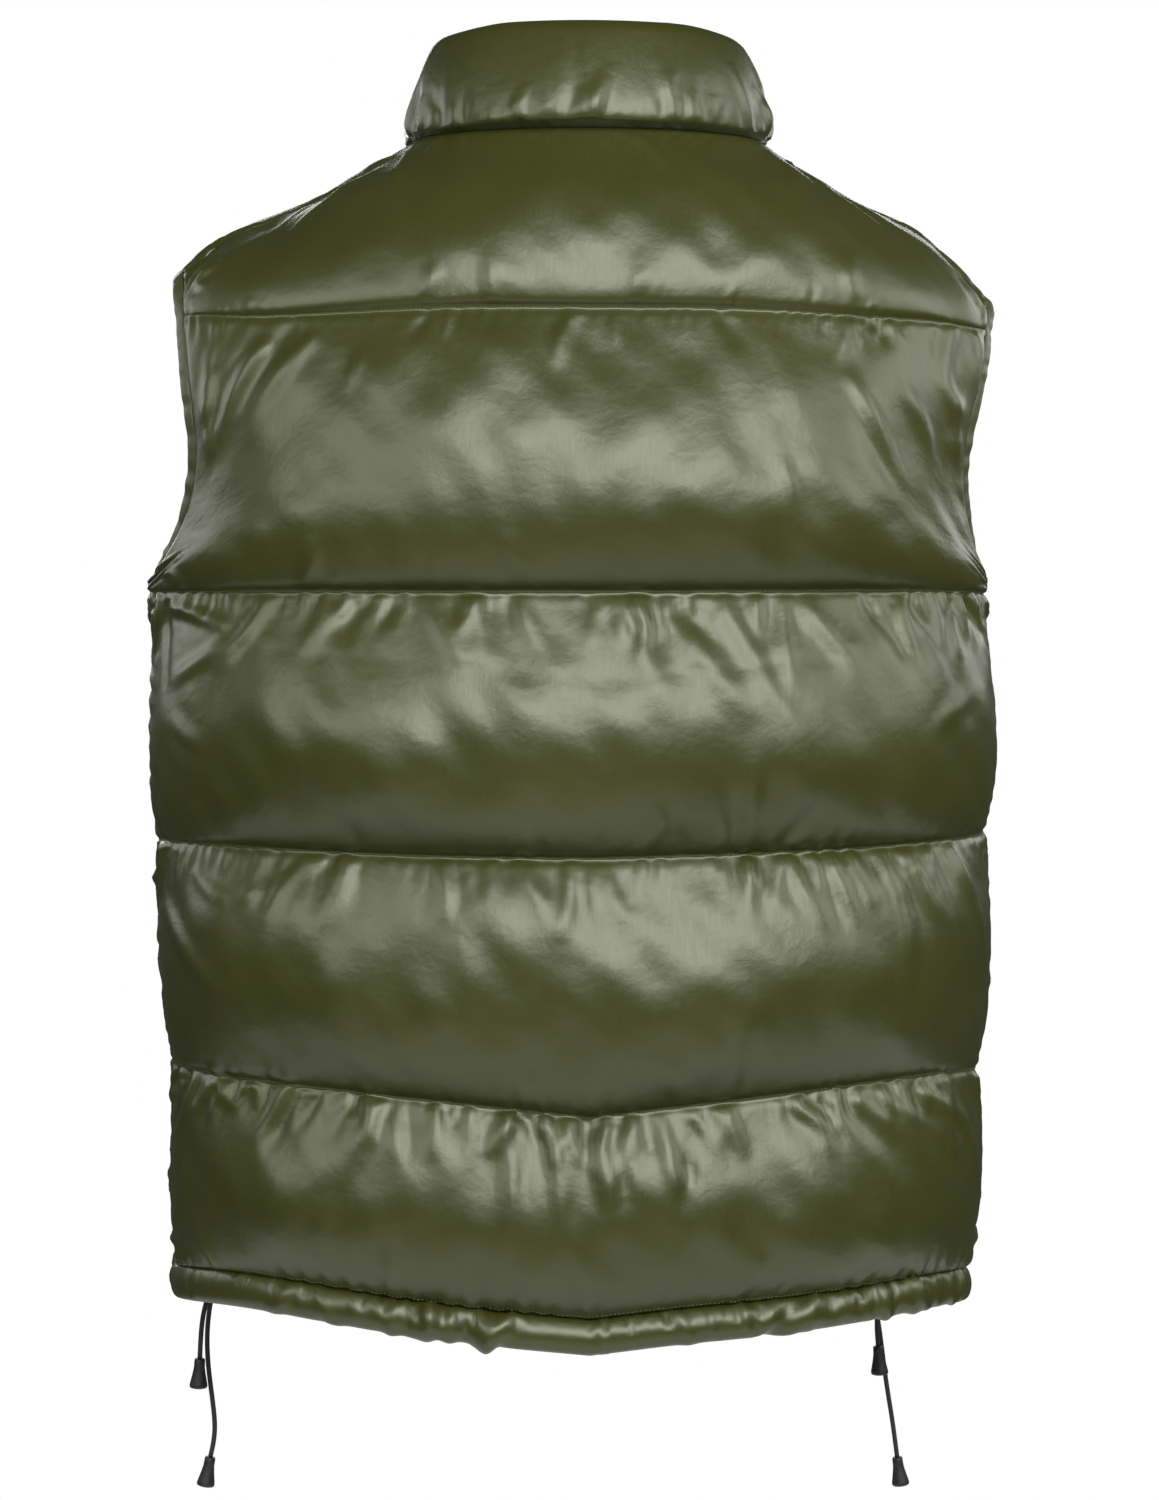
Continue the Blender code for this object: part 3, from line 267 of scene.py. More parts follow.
@dataclass(frozen=True)
class Lie:
    """How the cloth lies on the body: upper body aside, right shoulder and right hem lower.

    The left underarm also stands out a little. Each of these fades in by soft steps.
    """

    upper_shift: float = -0.0100
    shift_heights: tuple[float, float] = (-0.200, 0.030)
    shoulder_drop: float = 0.0075
    drop_reach: tuple[float, float] = (0.190, 0.245)
    drop_heights: tuple[float, float] = (-0.115, -0.015)
    hem_tilt: float = 0.0080
    tilt_reach: tuple[float, float] = (0.030, 0.200)
    tilt_depths: tuple[float, float] = (0.450, 0.620)
    underarm_flare: float = 0.0060
    flare_reach: tuple[float, float] = (0.200, 0.240)
    flare_height: float = -0.222
    flare_spread: tuple[float, float] = (0.060, 0.030)

    def of(self, points: Array) -> Array:
        """Where points of the even form come to lie."""
        points = np.array(points, float)
        x, z = points[..., 0].copy(), points[..., 2].copy()
        outward = np.sign(x) * ramp(np.abs(x), *self.drop_reach)
        points[..., 2] += self.shoulder_drop * outward * ramp(z, *self.drop_heights)
        points[..., 0] += self.upper_shift * ramp(z, *self.shift_heights)
        points[..., 2] -= self.hem_tilt * ramp(-x, *self.tilt_reach) * ramp(-z, *self.tilt_depths)
        beside = points[..., 1] / self.flare_spread[0]
        above = (z - self.flare_height) / self.flare_spread[1]
        flare = np.exp(-(above**2) - beside**2) * ramp(x, *self.flare_reach)
        points[..., 0] += self.underarm_flare * flare
        return points


CUT = Cut()
LIE = Lie()
BACK = Face(
    facing=1,
    heights=(-0.6425, -0.5270, -0.3800, -0.2295, -0.0675),
    lifts=((0.0115, 0.0180), (0.0115, 0.0160), (0.0020, 0.0035), (0.0, -0.0005), (0.0, -0.0015)),
    depths=(0.1420, 0.1470, 0.1510, 0.1520, 0.1300),
    middle=0.0,
    first_angle=135.0,
    last_share=1.0 / 6.0,
    lofts=(0.021, 0.026, 0.027, 0.025, 0.008),
)
FRONT = Face(
    facing=-1,
    heights=(-0.6340, -0.5180, -0.3790, -0.2295, -0.1050),
    lifts=((0.0030, 0.0060), (0.0030, 0.0060), (0.0010, 0.0020), (0.0, 0.0), (0.0, 0.0)),
    depths=(0.1400, 0.1450, 0.1480, 0.1480, 0.1360),
    middle=CUT.opening_half,
    first_angle=245.0,
    last_share=1.0 / 5.0,
    lofts=(0.019, 0.024, 0.026, 0.026, 0.011),
)
YOKE = 4  # number of the baffle over the shoulders


@dataclass
class Rows:
    """Rows of a panel's grid: the baffle of each row and its share of the way up that baffle."""

    counts: tuple[int, ...]
    crowding: float = 0.35  # how much closer the rows stand beside a seam

    def __post_init__(self) -> None:
        """Spread the rows: share s - c sin(2 pi s) / 2 pi, which crowds them at both ends."""
        bands, shares = [], []
        for number, count in enumerate(self.counts):
            last = 1 if number == len(self.counts) - 1 else 0
            s = np.arange(count + last) / count
            shares.append(s - self.crowding * np.sin(2.0 * math.pi * s) / (2.0 * math.pi))
            bands.append(np.full(len(s), number))
        self.band = np.concatenate(bands)
        self.share = np.concatenate(shares)
        self.seams = np.concatenate([[0], np.cumsum(self.counts)])


class InsideForm:
    """The cloth's inside as a surface of two parameters: baffle share up, column share out."""

    def __init__(self, cut: Cut) -> None:
        """Keep the cut."""
        self.cut = cut

    def armhole(self, angle: Array, side: int) -> Array:
        """Points of the armhole's edge; 0 is the underarm, 90 the back, 180 the top, 270 the front."""
        cut = self.cut
        turn = np.radians(angle)
        share = (1.0 - np.cos(turn)) / 2.0
        width = spline(cut.armhole_shares, cut.armhole_widths, share)
        reach = np.where(angle <= 180.0, cut.armhole_back_reach, cut.armhole_front_reach)
        x = width - cut.armhole_front_cut * np.maximum(0.0, -np.sin(turn))
        underarm = (cut.side_left if side > 0 else cut.side_right)[3]
        top = cut.side_left[3] + cut.armhole_height
        return np.stack([x, reach * np.sin(turn), underarm + (top - underarm) * share], axis=-1)

    def neck(self, angle: Array) -> Array:
        """Points of the neck seam; 0 is the centre back, 90 the side and 180 the centre front."""
        cut = self.cut
        turn = np.radians(angle)
        front = np.maximum(0.0, -np.cos(turn))
        depth = np.where(angle <= 90.0, cut.neck_back, cut.neck_front)
        height = cut.neck_height - cut.neck_front_drop * front**1.4
        return np.stack([cut.neck_half_width * np.sin(turn), depth * np.cos(turn), height], axis=-1)

    def top_line(self, face: Face, side: int, out: Array) -> Array:
        """Neck seam and then shoulder seam, read at the column shares."""
        cut = self.cut
        inner = 0.0
        if face.facing < 0:
            inner = 180.0 - math.degrees(math.asin(face.middle / cut.neck_half_width))
        on_neck = np.clip(out / cut.neck_share, 0.0, 1.0)
        neck = self.neck(inner + (cut.neck_point_angle - inner) * on_neck)
        start = self.neck(np.array([cut.neck_point_angle]))[0]
        end = self.armhole(np.array([cut.shoulder_seam_angle]), side)[0]
        knots = np.array([start, *cut.shoulder_points, end])
        shoulder = spline(knots[:, 0], knots, np.linspace(knots[0, 0], knots[-1, 0], 60))
        on_shoulder = np.clip((out - cut.neck_share) / (1.0 - cut.neck_share), 0.0, 1.0)
        beyond = along(shoulder, on_shoulder)
        return np.where((out <= cut.neck_share)[:, None], neck, beyond)

    def level_arcs(self, depth: Array, edge: Array, start_x: float, out: Array) -> Array:
        """Level arcs, one for each row, on |x/a|^n + |y/depth|^n = 1, evenly spaced by length."""
        n = self.cut.squareness
        full = edge[:, 0] / (1.0 - (np.abs(edge[:, 1]) / depth) ** n) ** (1.0 / n)
        first = np.arcsin((start_x / full) ** (n / 2.0))
        last = np.arcsin(np.minimum(1.0, (edge[:, 0] / full) ** (n / 2.0)))
        turn = first[:, None] + (last - first)[:, None] * np.linspace(0.0, 1.0, 400)
        x = full[:, None] * np.sin(turn) ** (2.0 / n)
        y = depth[:, None] * np.cos(turn).clip(0.0) ** (2.0 / n)
        return np.array([along(np.stack(line, axis=1), out) for line in zip(x, y)])

    def body(self, face: Face, side: int, band: Array, share: Array, out: Array) -> Array:
        """Rows of the body below the yoke.

        Args:
            face: Back or front.
            side: +1 for the wearer's left, -1 for the right.
            band: Number of the baffle of each row.
            share: Share of the way up that baffle.
            out: Column shares from the middle edge to the side.

        Returns:
            Points, rows by columns by xyz. A row is a level arc whose height follows a spline from
            the middle through two lifts to the side's own height.
        """
        cut = self.cut
        levels = np.array(face.heights)
        side_z = np.array(cut.side_left if side > 0 else cut.side_right)
        widths = np.array(cut.width_left if side > 0 else cut.width_right)
        height = levels[band] + (levels[band + 1] - levels[band]) * share
        depth = spline(levels, face.depths, height)
        lifts = spline(levels, np.array(face.lifts), height)
        below = np.minimum(band, 2)
        edge_z = side_z[below] + (side_z[below + 1] - side_z[below]) * share
        seam = np.stack([spline(levels[:4], widths, height), np.zeros_like(height), edge_z], axis=-1)
        start = 0.0 if face.facing > 0 else 360.0
        ring = self.armhole(start + (face.first_angle - start) * share, side)
        beside_arm = (band == 3)[:, None]
        edge = np.where(beside_arm, ring, seam)
        flat = self.level_arcs(depth, edge, face.middle, out)
        rise = edge[:, 2] - height
        drop = rise * np.where(band == 3, ramp(share, 0.0, 0.5), 0.0)
        near = lifts[:, 0] + drop * cut.lift_near**2
        far = lifts[:, 1] + drop * cut.lift_far**2
        knots = np.stack([np.zeros_like(rise), near, far, rise], axis=-1)
        basis = spline((0.0, cut.lift_near, cut.lift_far, 1.0), np.eye(4), out)
        heights = height[:, None] + knots @ basis.T
        return np.stack([flat[..., 0], face.facing * flat[..., 1], heights], axis=-1)

    def crossing(self, face: Face, line: Array, out: Array) -> Array:
        """Way the cloth runs as it meets its top line: a fan at the neck, then straight over."""
        cut = self.cut
        fan = unit(line[:, :2] / np.array([cut.neck_half_width, cut.neck_back]))
        fan = unit(fan * np.array([cut.neck_fan, 1.0]))
        beyond = ramp(out, cut.neck_share - 1.0 / 12.0, cut.neck_share + 1.0 / 12.0)[:, None]
        straight = np.array([0.0, -float(face.facing)])
        plan = unit(-fan * (1.0 - beyond) + straight * beyond)
        neck_y = self.neck(np.array([cut.neck_point_angle]))[0, 1]
        slope = cut.ridge_fall - cut.rounding * (line[:, 1] - neck_y)
        climb = -cut.outward_fall * plan[:, 0] + slope * plan[:, 1]
        return unit(np.column_stack([plan, climb]))

    def yoke(self, face: Face, side: int, share: Array, out: Array) -> Array:
        """Rows over the shoulder: cubic Hermite columns, the last of them held to the armhole."""
        cut = self.cut
        ends = self.body(face, side, np.array([3, 3]), np.array([1.0 - face.last_share, 1.0]), out)
        start = ends[1]
        end = self.top_line(face, side, out)
        reach = np.linalg.norm(end - start, axis=1)[:, None]
        leave = reach * cut.yoke_start_pull * unit(ends[1] - ends[0])
        arrive = reach * cut.yoke_end_pull * self.crossing(face, end, out)
        rows = hermite(share[:, None, None], start, leave, end, arrive)
        rows = self.even_out(rows, share, out) if face.facing < 0 else rows
        angle = face.first_angle + (cut.shoulder_seam_angle - face.first_angle) * share
        edge = self.armhole(angle, side)
        return rows + (edge - rows[:, -1])[:, None] * (out[None, :, None] ** 5)

    def even_out(self, rows: Array, share: Array, out: Array) -> Array:
        """Even out the columns beside the neck point, where they would run over each other.

        Each row is a cubic Hermite curve across that stretch. The top row keeps its own corner, whose
        distance from the curve fades downward with the eighth power of the share.
        """
        from_point = out - self.cut.neck_share
        first = int(np.argmin(np.abs(from_point + self.cut.even_reach)))
        last = int(np.argmin(np.abs(from_point - self.cut.even_reach)))
        count = last - first
        u = (np.arange(count + 1) / count)[None, :, None]
        start, end = rows[:, None, first], rows[:, None, last]
        leave = (start - rows[:, None, first - 1]) * count
        arrive = (rows[:, None, last + 1] - end) * count
        even = hermite(u, start, leave, end, arrive)
        even = even + (rows[-1:, first : last + 1] - even[-1:]) * (share**8)[:, None, None]
        rows = rows.copy()
        rows[:, first : last + 1] = even
        return rows

    def half(self, face: Face, side: int, rows: Rows, out: Array) -> Array:
        """Grid of one half of the back, or of one front, from hem to top line."""
        on_body = rows.band < YOKE
        body = self.body(face, side, rows.band[on_body], rows.share[on_body], out)
        yoke = self.yoke(face, side, rows.share[~on_body], out)
        grid = np.concatenate([body, yoke])
        grid[..., 0] *= side
        return grid


# ---- Folds in the cloth ----
@dataclass(frozen=True)
class Crease:
    """One fold placed on a panel, in metres across from the middle and up from the hem."""

    start: tuple[float, float]
    bend: tuple[float, float]
    end: tuple[float, float]
    width: float  # half-width of the fold
    height: float  # above 0 a ridge, below 0 a trough
    skew: float = 0.5  # where along it the fold is highest

    def raise_over(self, across: Array, up: Array) -> Array:
        """Height of the fold over a panel.

        The middle line is a quadratic curve. A point at distance d from it, at share p of its length,
        is raised by height * taper(p) * (1 - 0.6 (d/w)^2) exp(-(d/w)^2), a ridge between two shallow
        troughs.
        """
        t = np.linspace(0.0, 1.0, 15)[:, None]
        line = (1 - t) ** 2 * np.array(self.start) + 2 * t * (1 - t) * np.array(self.bend)
        line = line + t**2 * np.array(self.end)
        low = line.min(0) - 3.0 * self.width
        high = line.max(0) + 3.0 * self.width
        near = (across > low[0]) & (across < high[0]) & (up > low[1]) & (up < high[1])
        lift = np.zeros_like(across)
        if not near.any():
            return lift
        points = np.stack([across[near], up[near]], axis=-1)
        best = np.full(len(points), np.inf)
        place = np.zeros(len(points))
        for i in range(len(line) - 1):
            step = line[i + 1] - line[i]
            share = np.clip((points - line[i]) @ step / (step @ step), 0.0, 1.0)
            gap = np.linalg.norm(points - line[i] - share[:, None] * step, axis=1)
            closer = gap < best
            best[closer] = gap[closer]
            place[closer] = (i + share[closer]) / (len(line) - 1)
        power = math.log(0.5) / math.log(self.skew)
        taper = np.sin(math.pi * place.clip(1e-6, 1.0) ** power).clip(0.0) ** 0.8
        ratio = (best / self.width) ** 2
        lift[near] = self.height * taper * (1.0 - 0.6 * ratio) * np.exp(-ratio)
        return lift


@dataclass(frozen=True)
class PuckerSizes:
    """What the short folds along a seam are drawn from."""

    chance: float = 0.55  # of a fold at a spot of strength 1
    length: float = 0.015  # the usual one
    length_spread: float = 0.65  # of its logarithm
    lengths: tuple[float, float] = (0.005, 0.065)
    lean_spread: float = 0.30
    slimness: float = 0.14  # half-width over length
    slims: tuple[float, float] = (0.8, 1.5)
    widths: tuple[float, float] = (0.0019, 0.0055)
    rises: tuple[float, float] = (0.14, 0.36)  # height over half-width
    troughs: float = 0.3  # share of the folds that go inward
    gap: float = 0.003  # farthest that a fold starts from the seam
    bend_spread: float = 0.14
    skew: float = 0.35


def puckers(rng: np.random.Generator, spots: Array, heights: Array, strength: Array, way: int,
            lean: Array) -> list[Crease]:
    """Short folds that start on a seam, with drawn lengths, widths, heights and leans.

    Args:
        rng: Seeded source of the draws.
        spots: Places across at which a fold may start.
        heights: Height of the seam at those places.
        strength: How likely and how long the folds are there; about 1.
        way: +1 for folds that run up from the seam, -1 for folds that run down.
        lean: How far outward the folds turn there, as a share of their length.

    Returns:
        The folds that were kept.
    """
    made = []
    count, sizes = len(spots), PuckerSizes()
    kept = rng.random(count) < strength * sizes.chance
    lengths = np.exp(rng.normal(math.log(sizes.length), sizes.length_spread, count))
    lengths = lengths.clip(*sizes.lengths) * (0.5 + 0.5 * strength)
    leans = lean + rng.normal(0.0, sizes.lean_spread, count)
    widths = (sizes.slimness * lengths * rng.uniform(*sizes.slims, count)).clip(*sizes.widths)
    rises = widths * rng.uniform(*sizes.rises, count)
    rises = rises * np.where(rng.random(count) < sizes.troughs, -1.0, 1.0)
    gaps, bends = rng.uniform(0.0, sizes.gap, count), rng.normal(0.0, sizes.bend_spread, count)
    for i in np.flatnonzero(kept):
        x, z, length = spots[i], heights[i] + way * gaps[i], lengths[i]
        end = (x + leans[i] * length, z + way * length)
        bend = (0.5 * (x + end[0]) + bends[i] * length, 0.5 * (z + end[1]))
        made.append(Crease((x, z), bend, end, widths[i], rises[i], sizes.skew))
    return made


def creases_of(*rows: tuple[float, ...]) -> tuple[Crease, ...]:
    """Creases from rows of start, bend, end, half-width and height in millimetres, and skew."""
    made = []
    for row in rows:
        sizes = tuple(size / 1000.0 for size in row[:8])
        made.append(Crease(sizes[:2], sizes[2:4], sizes[4:6], *sizes[6:], row[8]))
    return tuple(made)


@dataclass(frozen=True)
class PanelLook:
    """How one panel is quilted: spare cloth beside its seams, filling and listed folds."""

    rows: tuple[int, ...]
    columns: int
    above: tuple[tuple[float, ...], ...]  # gathers above hem, fourth, third, second and first seam
    below: tuple[tuple[float, ...], ...]  # gathers below fourth, third, second, first and top seam
    creases: tuple[Crease, ...]
    seed: int
    rises: tuple[float, ...] = (0.88, 0.88, 0.90, 0.78, 0.50)  # power of each baffle's rise
    falls: tuple[float, ...] = (1.25, 1.05, 1.40, 1.25, 0.95)  # power of its fall to the upper seam
    seam_wall: float = 0.0034  # thickness of the wall at a quilting seam
    gather: float = 0.07  # spare cloth along a seam where its gathers have strength 1
    reach_below: float = 0.008  # how far down the near gathers below a seam fade
    far_share: float = 0.18  # share of those gathers that reach four times as far
    reach_above: float = 0.008
    spare_across: float = 0.002  # spare cloth everywhere
    spare_up: float = 0.001
    side_spare: float = 0.050  # spare cloth up the side edges
    crease_share: float = 0.8  # how much of a crease is in the cloth before it settles
    yoke_hold: float = 2.0  # how much more firmly the yoke keeps its form
    reseed: float = 0.6  # share of the seeds that is added again on each finer grid


BACK_CREASES = creases_of(
    (188, 564, 207, 551, 221, 520, 7, 3.5, 0.40),
    (159, 559, 174, 546, 196, 528, 7, 3, 0.40),
    (131, 544, 135, 534, 137, 520, 5, 1.8, 0.50),
    (-140, 536, -160, 515, -181, 472, 7, 3.5, 0.50),
    (-175, 534, -196, 530, -203, 508, 6, 3, 0.50),
    (-99, 480, -106, 468, -109, 450, 5, 1.5, 0.50),
    (50, 440, 44, 427, 35, 418, 8, 2, 0.50),
    (229, 582, 230, 554, 226, 512, 6, 2, 0.50),
    (-207, 567, -222, 550, -233, 516, 6, 2, 0.50),
    (269, 391, 235, 384, 206, 372, 5, 2.8, 0.40),
    (255, 345, 227, 352, 207, 369, 5, 2.8, 0.50),
    (250, 325, 231, 311, 215, 305, 5, 2, 0.50),
    (-8, 408, -18, 385, -42, 354, 8, 2.4, 0.40),
    (-53, 386, -68, 358, -87, 332, 8, 2.2, 0.40),
    (-122, 397, -132, 378, -150, 357, 7, 2.4, 0.40),
    (90, 401, 83, 383, 67, 365, 7, 2, 0.40),
    (147, 395, 151, 376, 163, 357, 7, 2.2, 0.40),
    (41, 407, 37, 395, 28, 378, 6, 1.8, 0.40),
    (-234, 388, -215, 367, -230, 354, 5, 2.5, 0.50),
    (-235, 337, -210, 329, -191, 312, 6, 2.2, 0.50),
    (-181, 388, -186, 368, -190, 343, 6, 2.2, 0.40),
    (241, 237, 224, 223, 202, 218, 5, 1.6, 0.50),
    (202, 218, 188, 226, 170, 230, 5, 1.2, 0.50),
    (272, 218, 235, 189, 200, 159, 7, 3, 0.40),
    (136, 250, 135, 233, 145, 209, 7, 2.4, 0.40),
    (85, 254, 77, 239, 79, 217, 7, 2.2, 0.40),
    (40, 257, 36, 245, 22, 233, 6, 2.4, 0.40),
    (-4, 258, -7, 243, -21, 223, 7, 2.4, 0.40),
    (-86, 255, -87, 244, -96, 233, 5, 2.6, 0.40),
    (-112, 249, -120, 231, -130, 208, 6, 2.8, 0.40),
    (-145, 250, -149, 233, -160, 216, 6, 2.8, 0.40),
    (-189, 247, -190, 228, -204, 204, 6, 3.8, 0.40),
    (-225, 250, -229, 232, -242, 215, 5, 3, 0.40),
    (227, 122, 226, 106, 203, 95, 5, 2.8, 0.40),
    (171, 121, 179, 99, 192, 78, 7, 2.8, 0.40),
    (127, 119, 122, 103, 121, 88, 6, 2.6, 0.40),
    (90, 115, 84, 104, 88, 85, 6, 2.6, 0.40),
    (-7, 114, -3, 93, -12, 68, 7, 5, 0.60),
    (-45, 115, -42, 96, -47, 68, 6, 3.8, 0.55),
    (21, 114, 17, 103, 22, 87, 5, 3.2, 0.50),
    (-27, 115, -32, 107, -30, 96, 4, 2.6, 0.50),
    (46, 115, 49, 104, 59, 89, 5, 2.8, 0.40),
    (-75, 115, -81, 101, -84, 84, 6, 3, 0.40),
    (-115, 114, -123, 103, -146, 92, 5, 3, 0.40),
    (-152, 111, -168, 99, -180, 83, 6, 3, 0.40),
    (-202, 110, -214, 98, -249, 84, 5, 3, 0.40),
    (100, 573, 98, 582, 91, 593, 6, 1.6, 0.50),
    (-151, 577, -143, 591, -148, 609, 7, 1.8, 0.50),
    (-22, 577, -19, 585, -22, 595, 6, 1.3, 0.50),
    (150, 700, 170, 665, 190, 632, 8, 2, 0.50),
    (-140, 705, -160, 668, -186, 630, 8, 2, 0.50),
    (215, 362, 0, 366, -236, 360, 3.5, -0.7, 0.50),
)
FRONT_CREASES = creases_of(
    (60, 112, 64, 95, 60, 70, 6, 3.4, 0.45),
    (110, 114, 122, 96, 150, 82, 5.5, 3, 0.40),
    (190, 118, 204, 102, 232, 94, 5, 2.8, 0.45),
    (40, 250, 44, 226, 58, 200, 7, 2.6, 0.40),
    (120, 252, 132, 230, 158, 214, 6, 3, 0.45),
    (200, 250, 214, 226, 236, 206, 5.5, 3.2, 0.40),
    (80, 398, 86, 372, 104, 340, 8, 2.4, 0.40),
    (165, 398, 178, 376, 204, 356, 7, 2.6, 0.40),
    (235, 345, 216, 330, 196, 318, 5.5, 2.4, 0.50),
    (120, 545, 142, 516, 176, 480, 7.5, 3, 0.45),
    (160, 556, 180, 532, 206, 506, 6, 2.8, 0.45),
    (60, 470, 64, 448, 56, 424, 7, 1.8, 0.50),
    (80, 660, 110, 628, 150, 598, 8, 2.2, 0.50),
    (-50, 112, -48, 92, -56, 68, 6, 3.6, 0.50),
    (-130, 116, -142, 100, -172, 90, 5, 3, 0.40),
    (-215, 120, -226, 104, -244, 84, 5.5, 2.6, 0.45),
    (-65, 252, -70, 230, -66, 206, 6.5, 2.6, 0.45),
    (-150, 252, -166, 232, -196, 222, 6, 3.2, 0.40),
    (-235, 226, -214, 206, -196, 176, 6.5, 2.6, 0.40),
    (-50, 396, -60, 372, -84, 346, 8, 2.4, 0.40),
    (-135, 400, -144, 382, -166, 362, 6.5, 2.6, 0.40),
    (-240, 372, -220, 364, -200, 350, 5, 2.8, 0.50),
    (-130, 550, -150, 524, -182, 494, 7, 3, 0.45),
    (-175, 560, -192, 540, -210, 512, 6, 2.6, 0.45),
    (-75, 655, -104, 620, -146, 592, 8, 2.2, 0.50),
)
BACK_LOOK = PanelLook(
    rows=(58, 62, 64, 68, 66),
    columns=132,
    above=(
        (0.7, 0.5, 0.6, 0.5, 0.6),
        (0.4, 0.3, 0.5, 0.3, 0.4),
        (0.4, 0.4, 0.5, 0.3, 0.3),
        (0.3, 0.2, 0.2, 0.2, 0.3),
        (0.4, 0.3, 0.3, 0.3, 0.4),
    ),
    below=(
        (1.4, 1.1, 1.6, 0.8, 1.0),
        (1.4, 1.0, 0.8, 0.8, 1.2),
        (1.2, 1.1, 1.0, 0.9, 1.0),
        (0.9, 0.5, 0.2, 0.4, 1.0),
        (0.3, 0.4, 0.4, 0.4, 0.3),
    ),
    creases=BACK_CREASES,
    seed=11,
)
FRONT_LOOK = PanelLook(
    rows=(58, 60, 60, 56, 76),
    columns=108,
    above=tuple((s,) * 5 for s in (0.6, 0.4, 0.4, 0.3, 0.3)),
    below=tuple((s,) * 5 for s in (1.1, 1.0, 1.0, 0.7, 0.4)),
    creases=FRONT_CREASES,
    seed=12,
    rises=(0.88, 0.88, 0.90, 0.78, 0.90),
    falls=(1.25, 1.05, 1.40, 1.25, 1.10),
)


class Settling:
    """Cloth on a grid of points, settled by turns of pushing and of giving threads their lengths."""

    diagonal = 0.6  # how fully a diagonal is given its length in a turn; the other threads wholly
    kept_speed = 0.9  # share of a turn's movement that goes on in the next one
    facing_turns = 4  # turns from one reading of the normals to the next

    def __init__(self, points: Array, held: Array, across: Array, up: Array, lean: Array) -> None:
        """Set the lengths.

        Args:
            points: Starting points, rows by columns by xyz.
            held: True where a point is sewn down.
            across: Length wanted between neighbours in a row.
            up: Length wanted between neighbours in a column.
            lean: Cosine of each cell's corner, which sets its diagonals by the law of cosines.
        """
        self.points = points.astype(np.float32)
        self.free = (~held).astype(np.float32)
        wide = 0.5 * (across[:-1] + across[1:])
        tall = 0.5 * (up[:, :-1] + up[:, 1:])
        rising = np.sqrt(wide**2 + tall**2 + 2.0 * wide * tall * lean)
        falling = np.sqrt(wide**2 + tall**2 - 2.0 * wide * tall * lean)
        rows, columns = held.shape
        self.threads = []
        for start in (0, 1):
            odd = slice(start, None, 2)
            near, far = slice(start, columns - 1, 2), slice(start + 1, columns, 2)
            low, high = slice(start, rows - 1, 2), slice(start + 1, rows, 2)
            whole = slice(None)
            self.add((whole, near), (whole, far), across[:, odd], 1.0)
            self.add((low, whole), (high, whole), up[odd], 1.0)
            for other in (0, 1):
                even = slice(other, None, 2)
                left, right = slice(other, columns - 1, 2), slice(other + 1, columns, 2)
                self.add((low, left), (high, right), rising[odd, even], self.diagonal)
                self.add((low, right), (high, left), falling[odd, even], self.diagonal)

    def add(self, one: tuple, other: tuple, length: Array, stiffness: float) -> None:
        """Keep a set of threads that share no point."""
        total = np.maximum(self.free[one] + self.free[other], 1e-6)
        self.threads.append((one, other, length.astype(np.float32), stiffness / total))

    def tighten(self) -> None:
        """Move each thread's two ends until it has its length; a held end stays."""
        for one, other, length, share in self.threads:
            first, second = self.points[one], self.points[other]
            way = second - first
            now = np.sqrt(np.einsum("ijk,ijk->ij", way, way)) + 1e-9
            way *= ((now - length) / now * share)[..., None]
            first += way * self.free[one][..., None]
            second -= way * self.free[other][..., None]

    def bend(self, stiffness: float) -> None:
        """Take away a share of the Laplacian of the Laplacian, which resists sharp bends."""
        change = self.points
        for _ in range(2):
            flat = np.zeros_like(change)
            flat[1:-1, 1:-1] = (
                change[:-2, 1:-1] + change[2:, 1:-1] + change[1:-1, :-2] + change[1:-1, 2:]
            ) - 4.0 * change[1:-1, 1:-1]
            change = flat
        self.points -= stiffness * change * self.free[..., None]

    def outward(self) -> Array:
        """Normals of the grid."""
        return unit(grid_normals(self.points)).astype(np.float32)

    def run(self, form: Array, turns: int, push: Array, stiffness: float, hold: Array) -> Array:
        """Settle for a number of turns.

        Args:
            form: The filled form, which the filling brings each point back toward.
            turns: How many.
            push: How far the filling pushes each point outward in a turn, signed for the grid's way.
            stiffness: Resistance to bending.
            hold: Share of the way back to the form that each point is brought in a turn.

        Returns:
            The settled points.
        """
        push = (push * self.free)[..., None].astype(np.float32)
        form = form.astype(np.float32)
        hold = hold[..., None].astype(np.float32)
        before = self.points.copy()
        for turn in range(turns):
            if turn % self.facing_turns == 0:
                outward = self.outward() * push
            moved = (self.points - before) * self.kept_speed + (form - self.points) * hold
            before = self.points.copy()
            self.points += moved * self.free[..., None] + outward
            self.tighten()
            self.bend(stiffness)
        return self.points.astype(float)


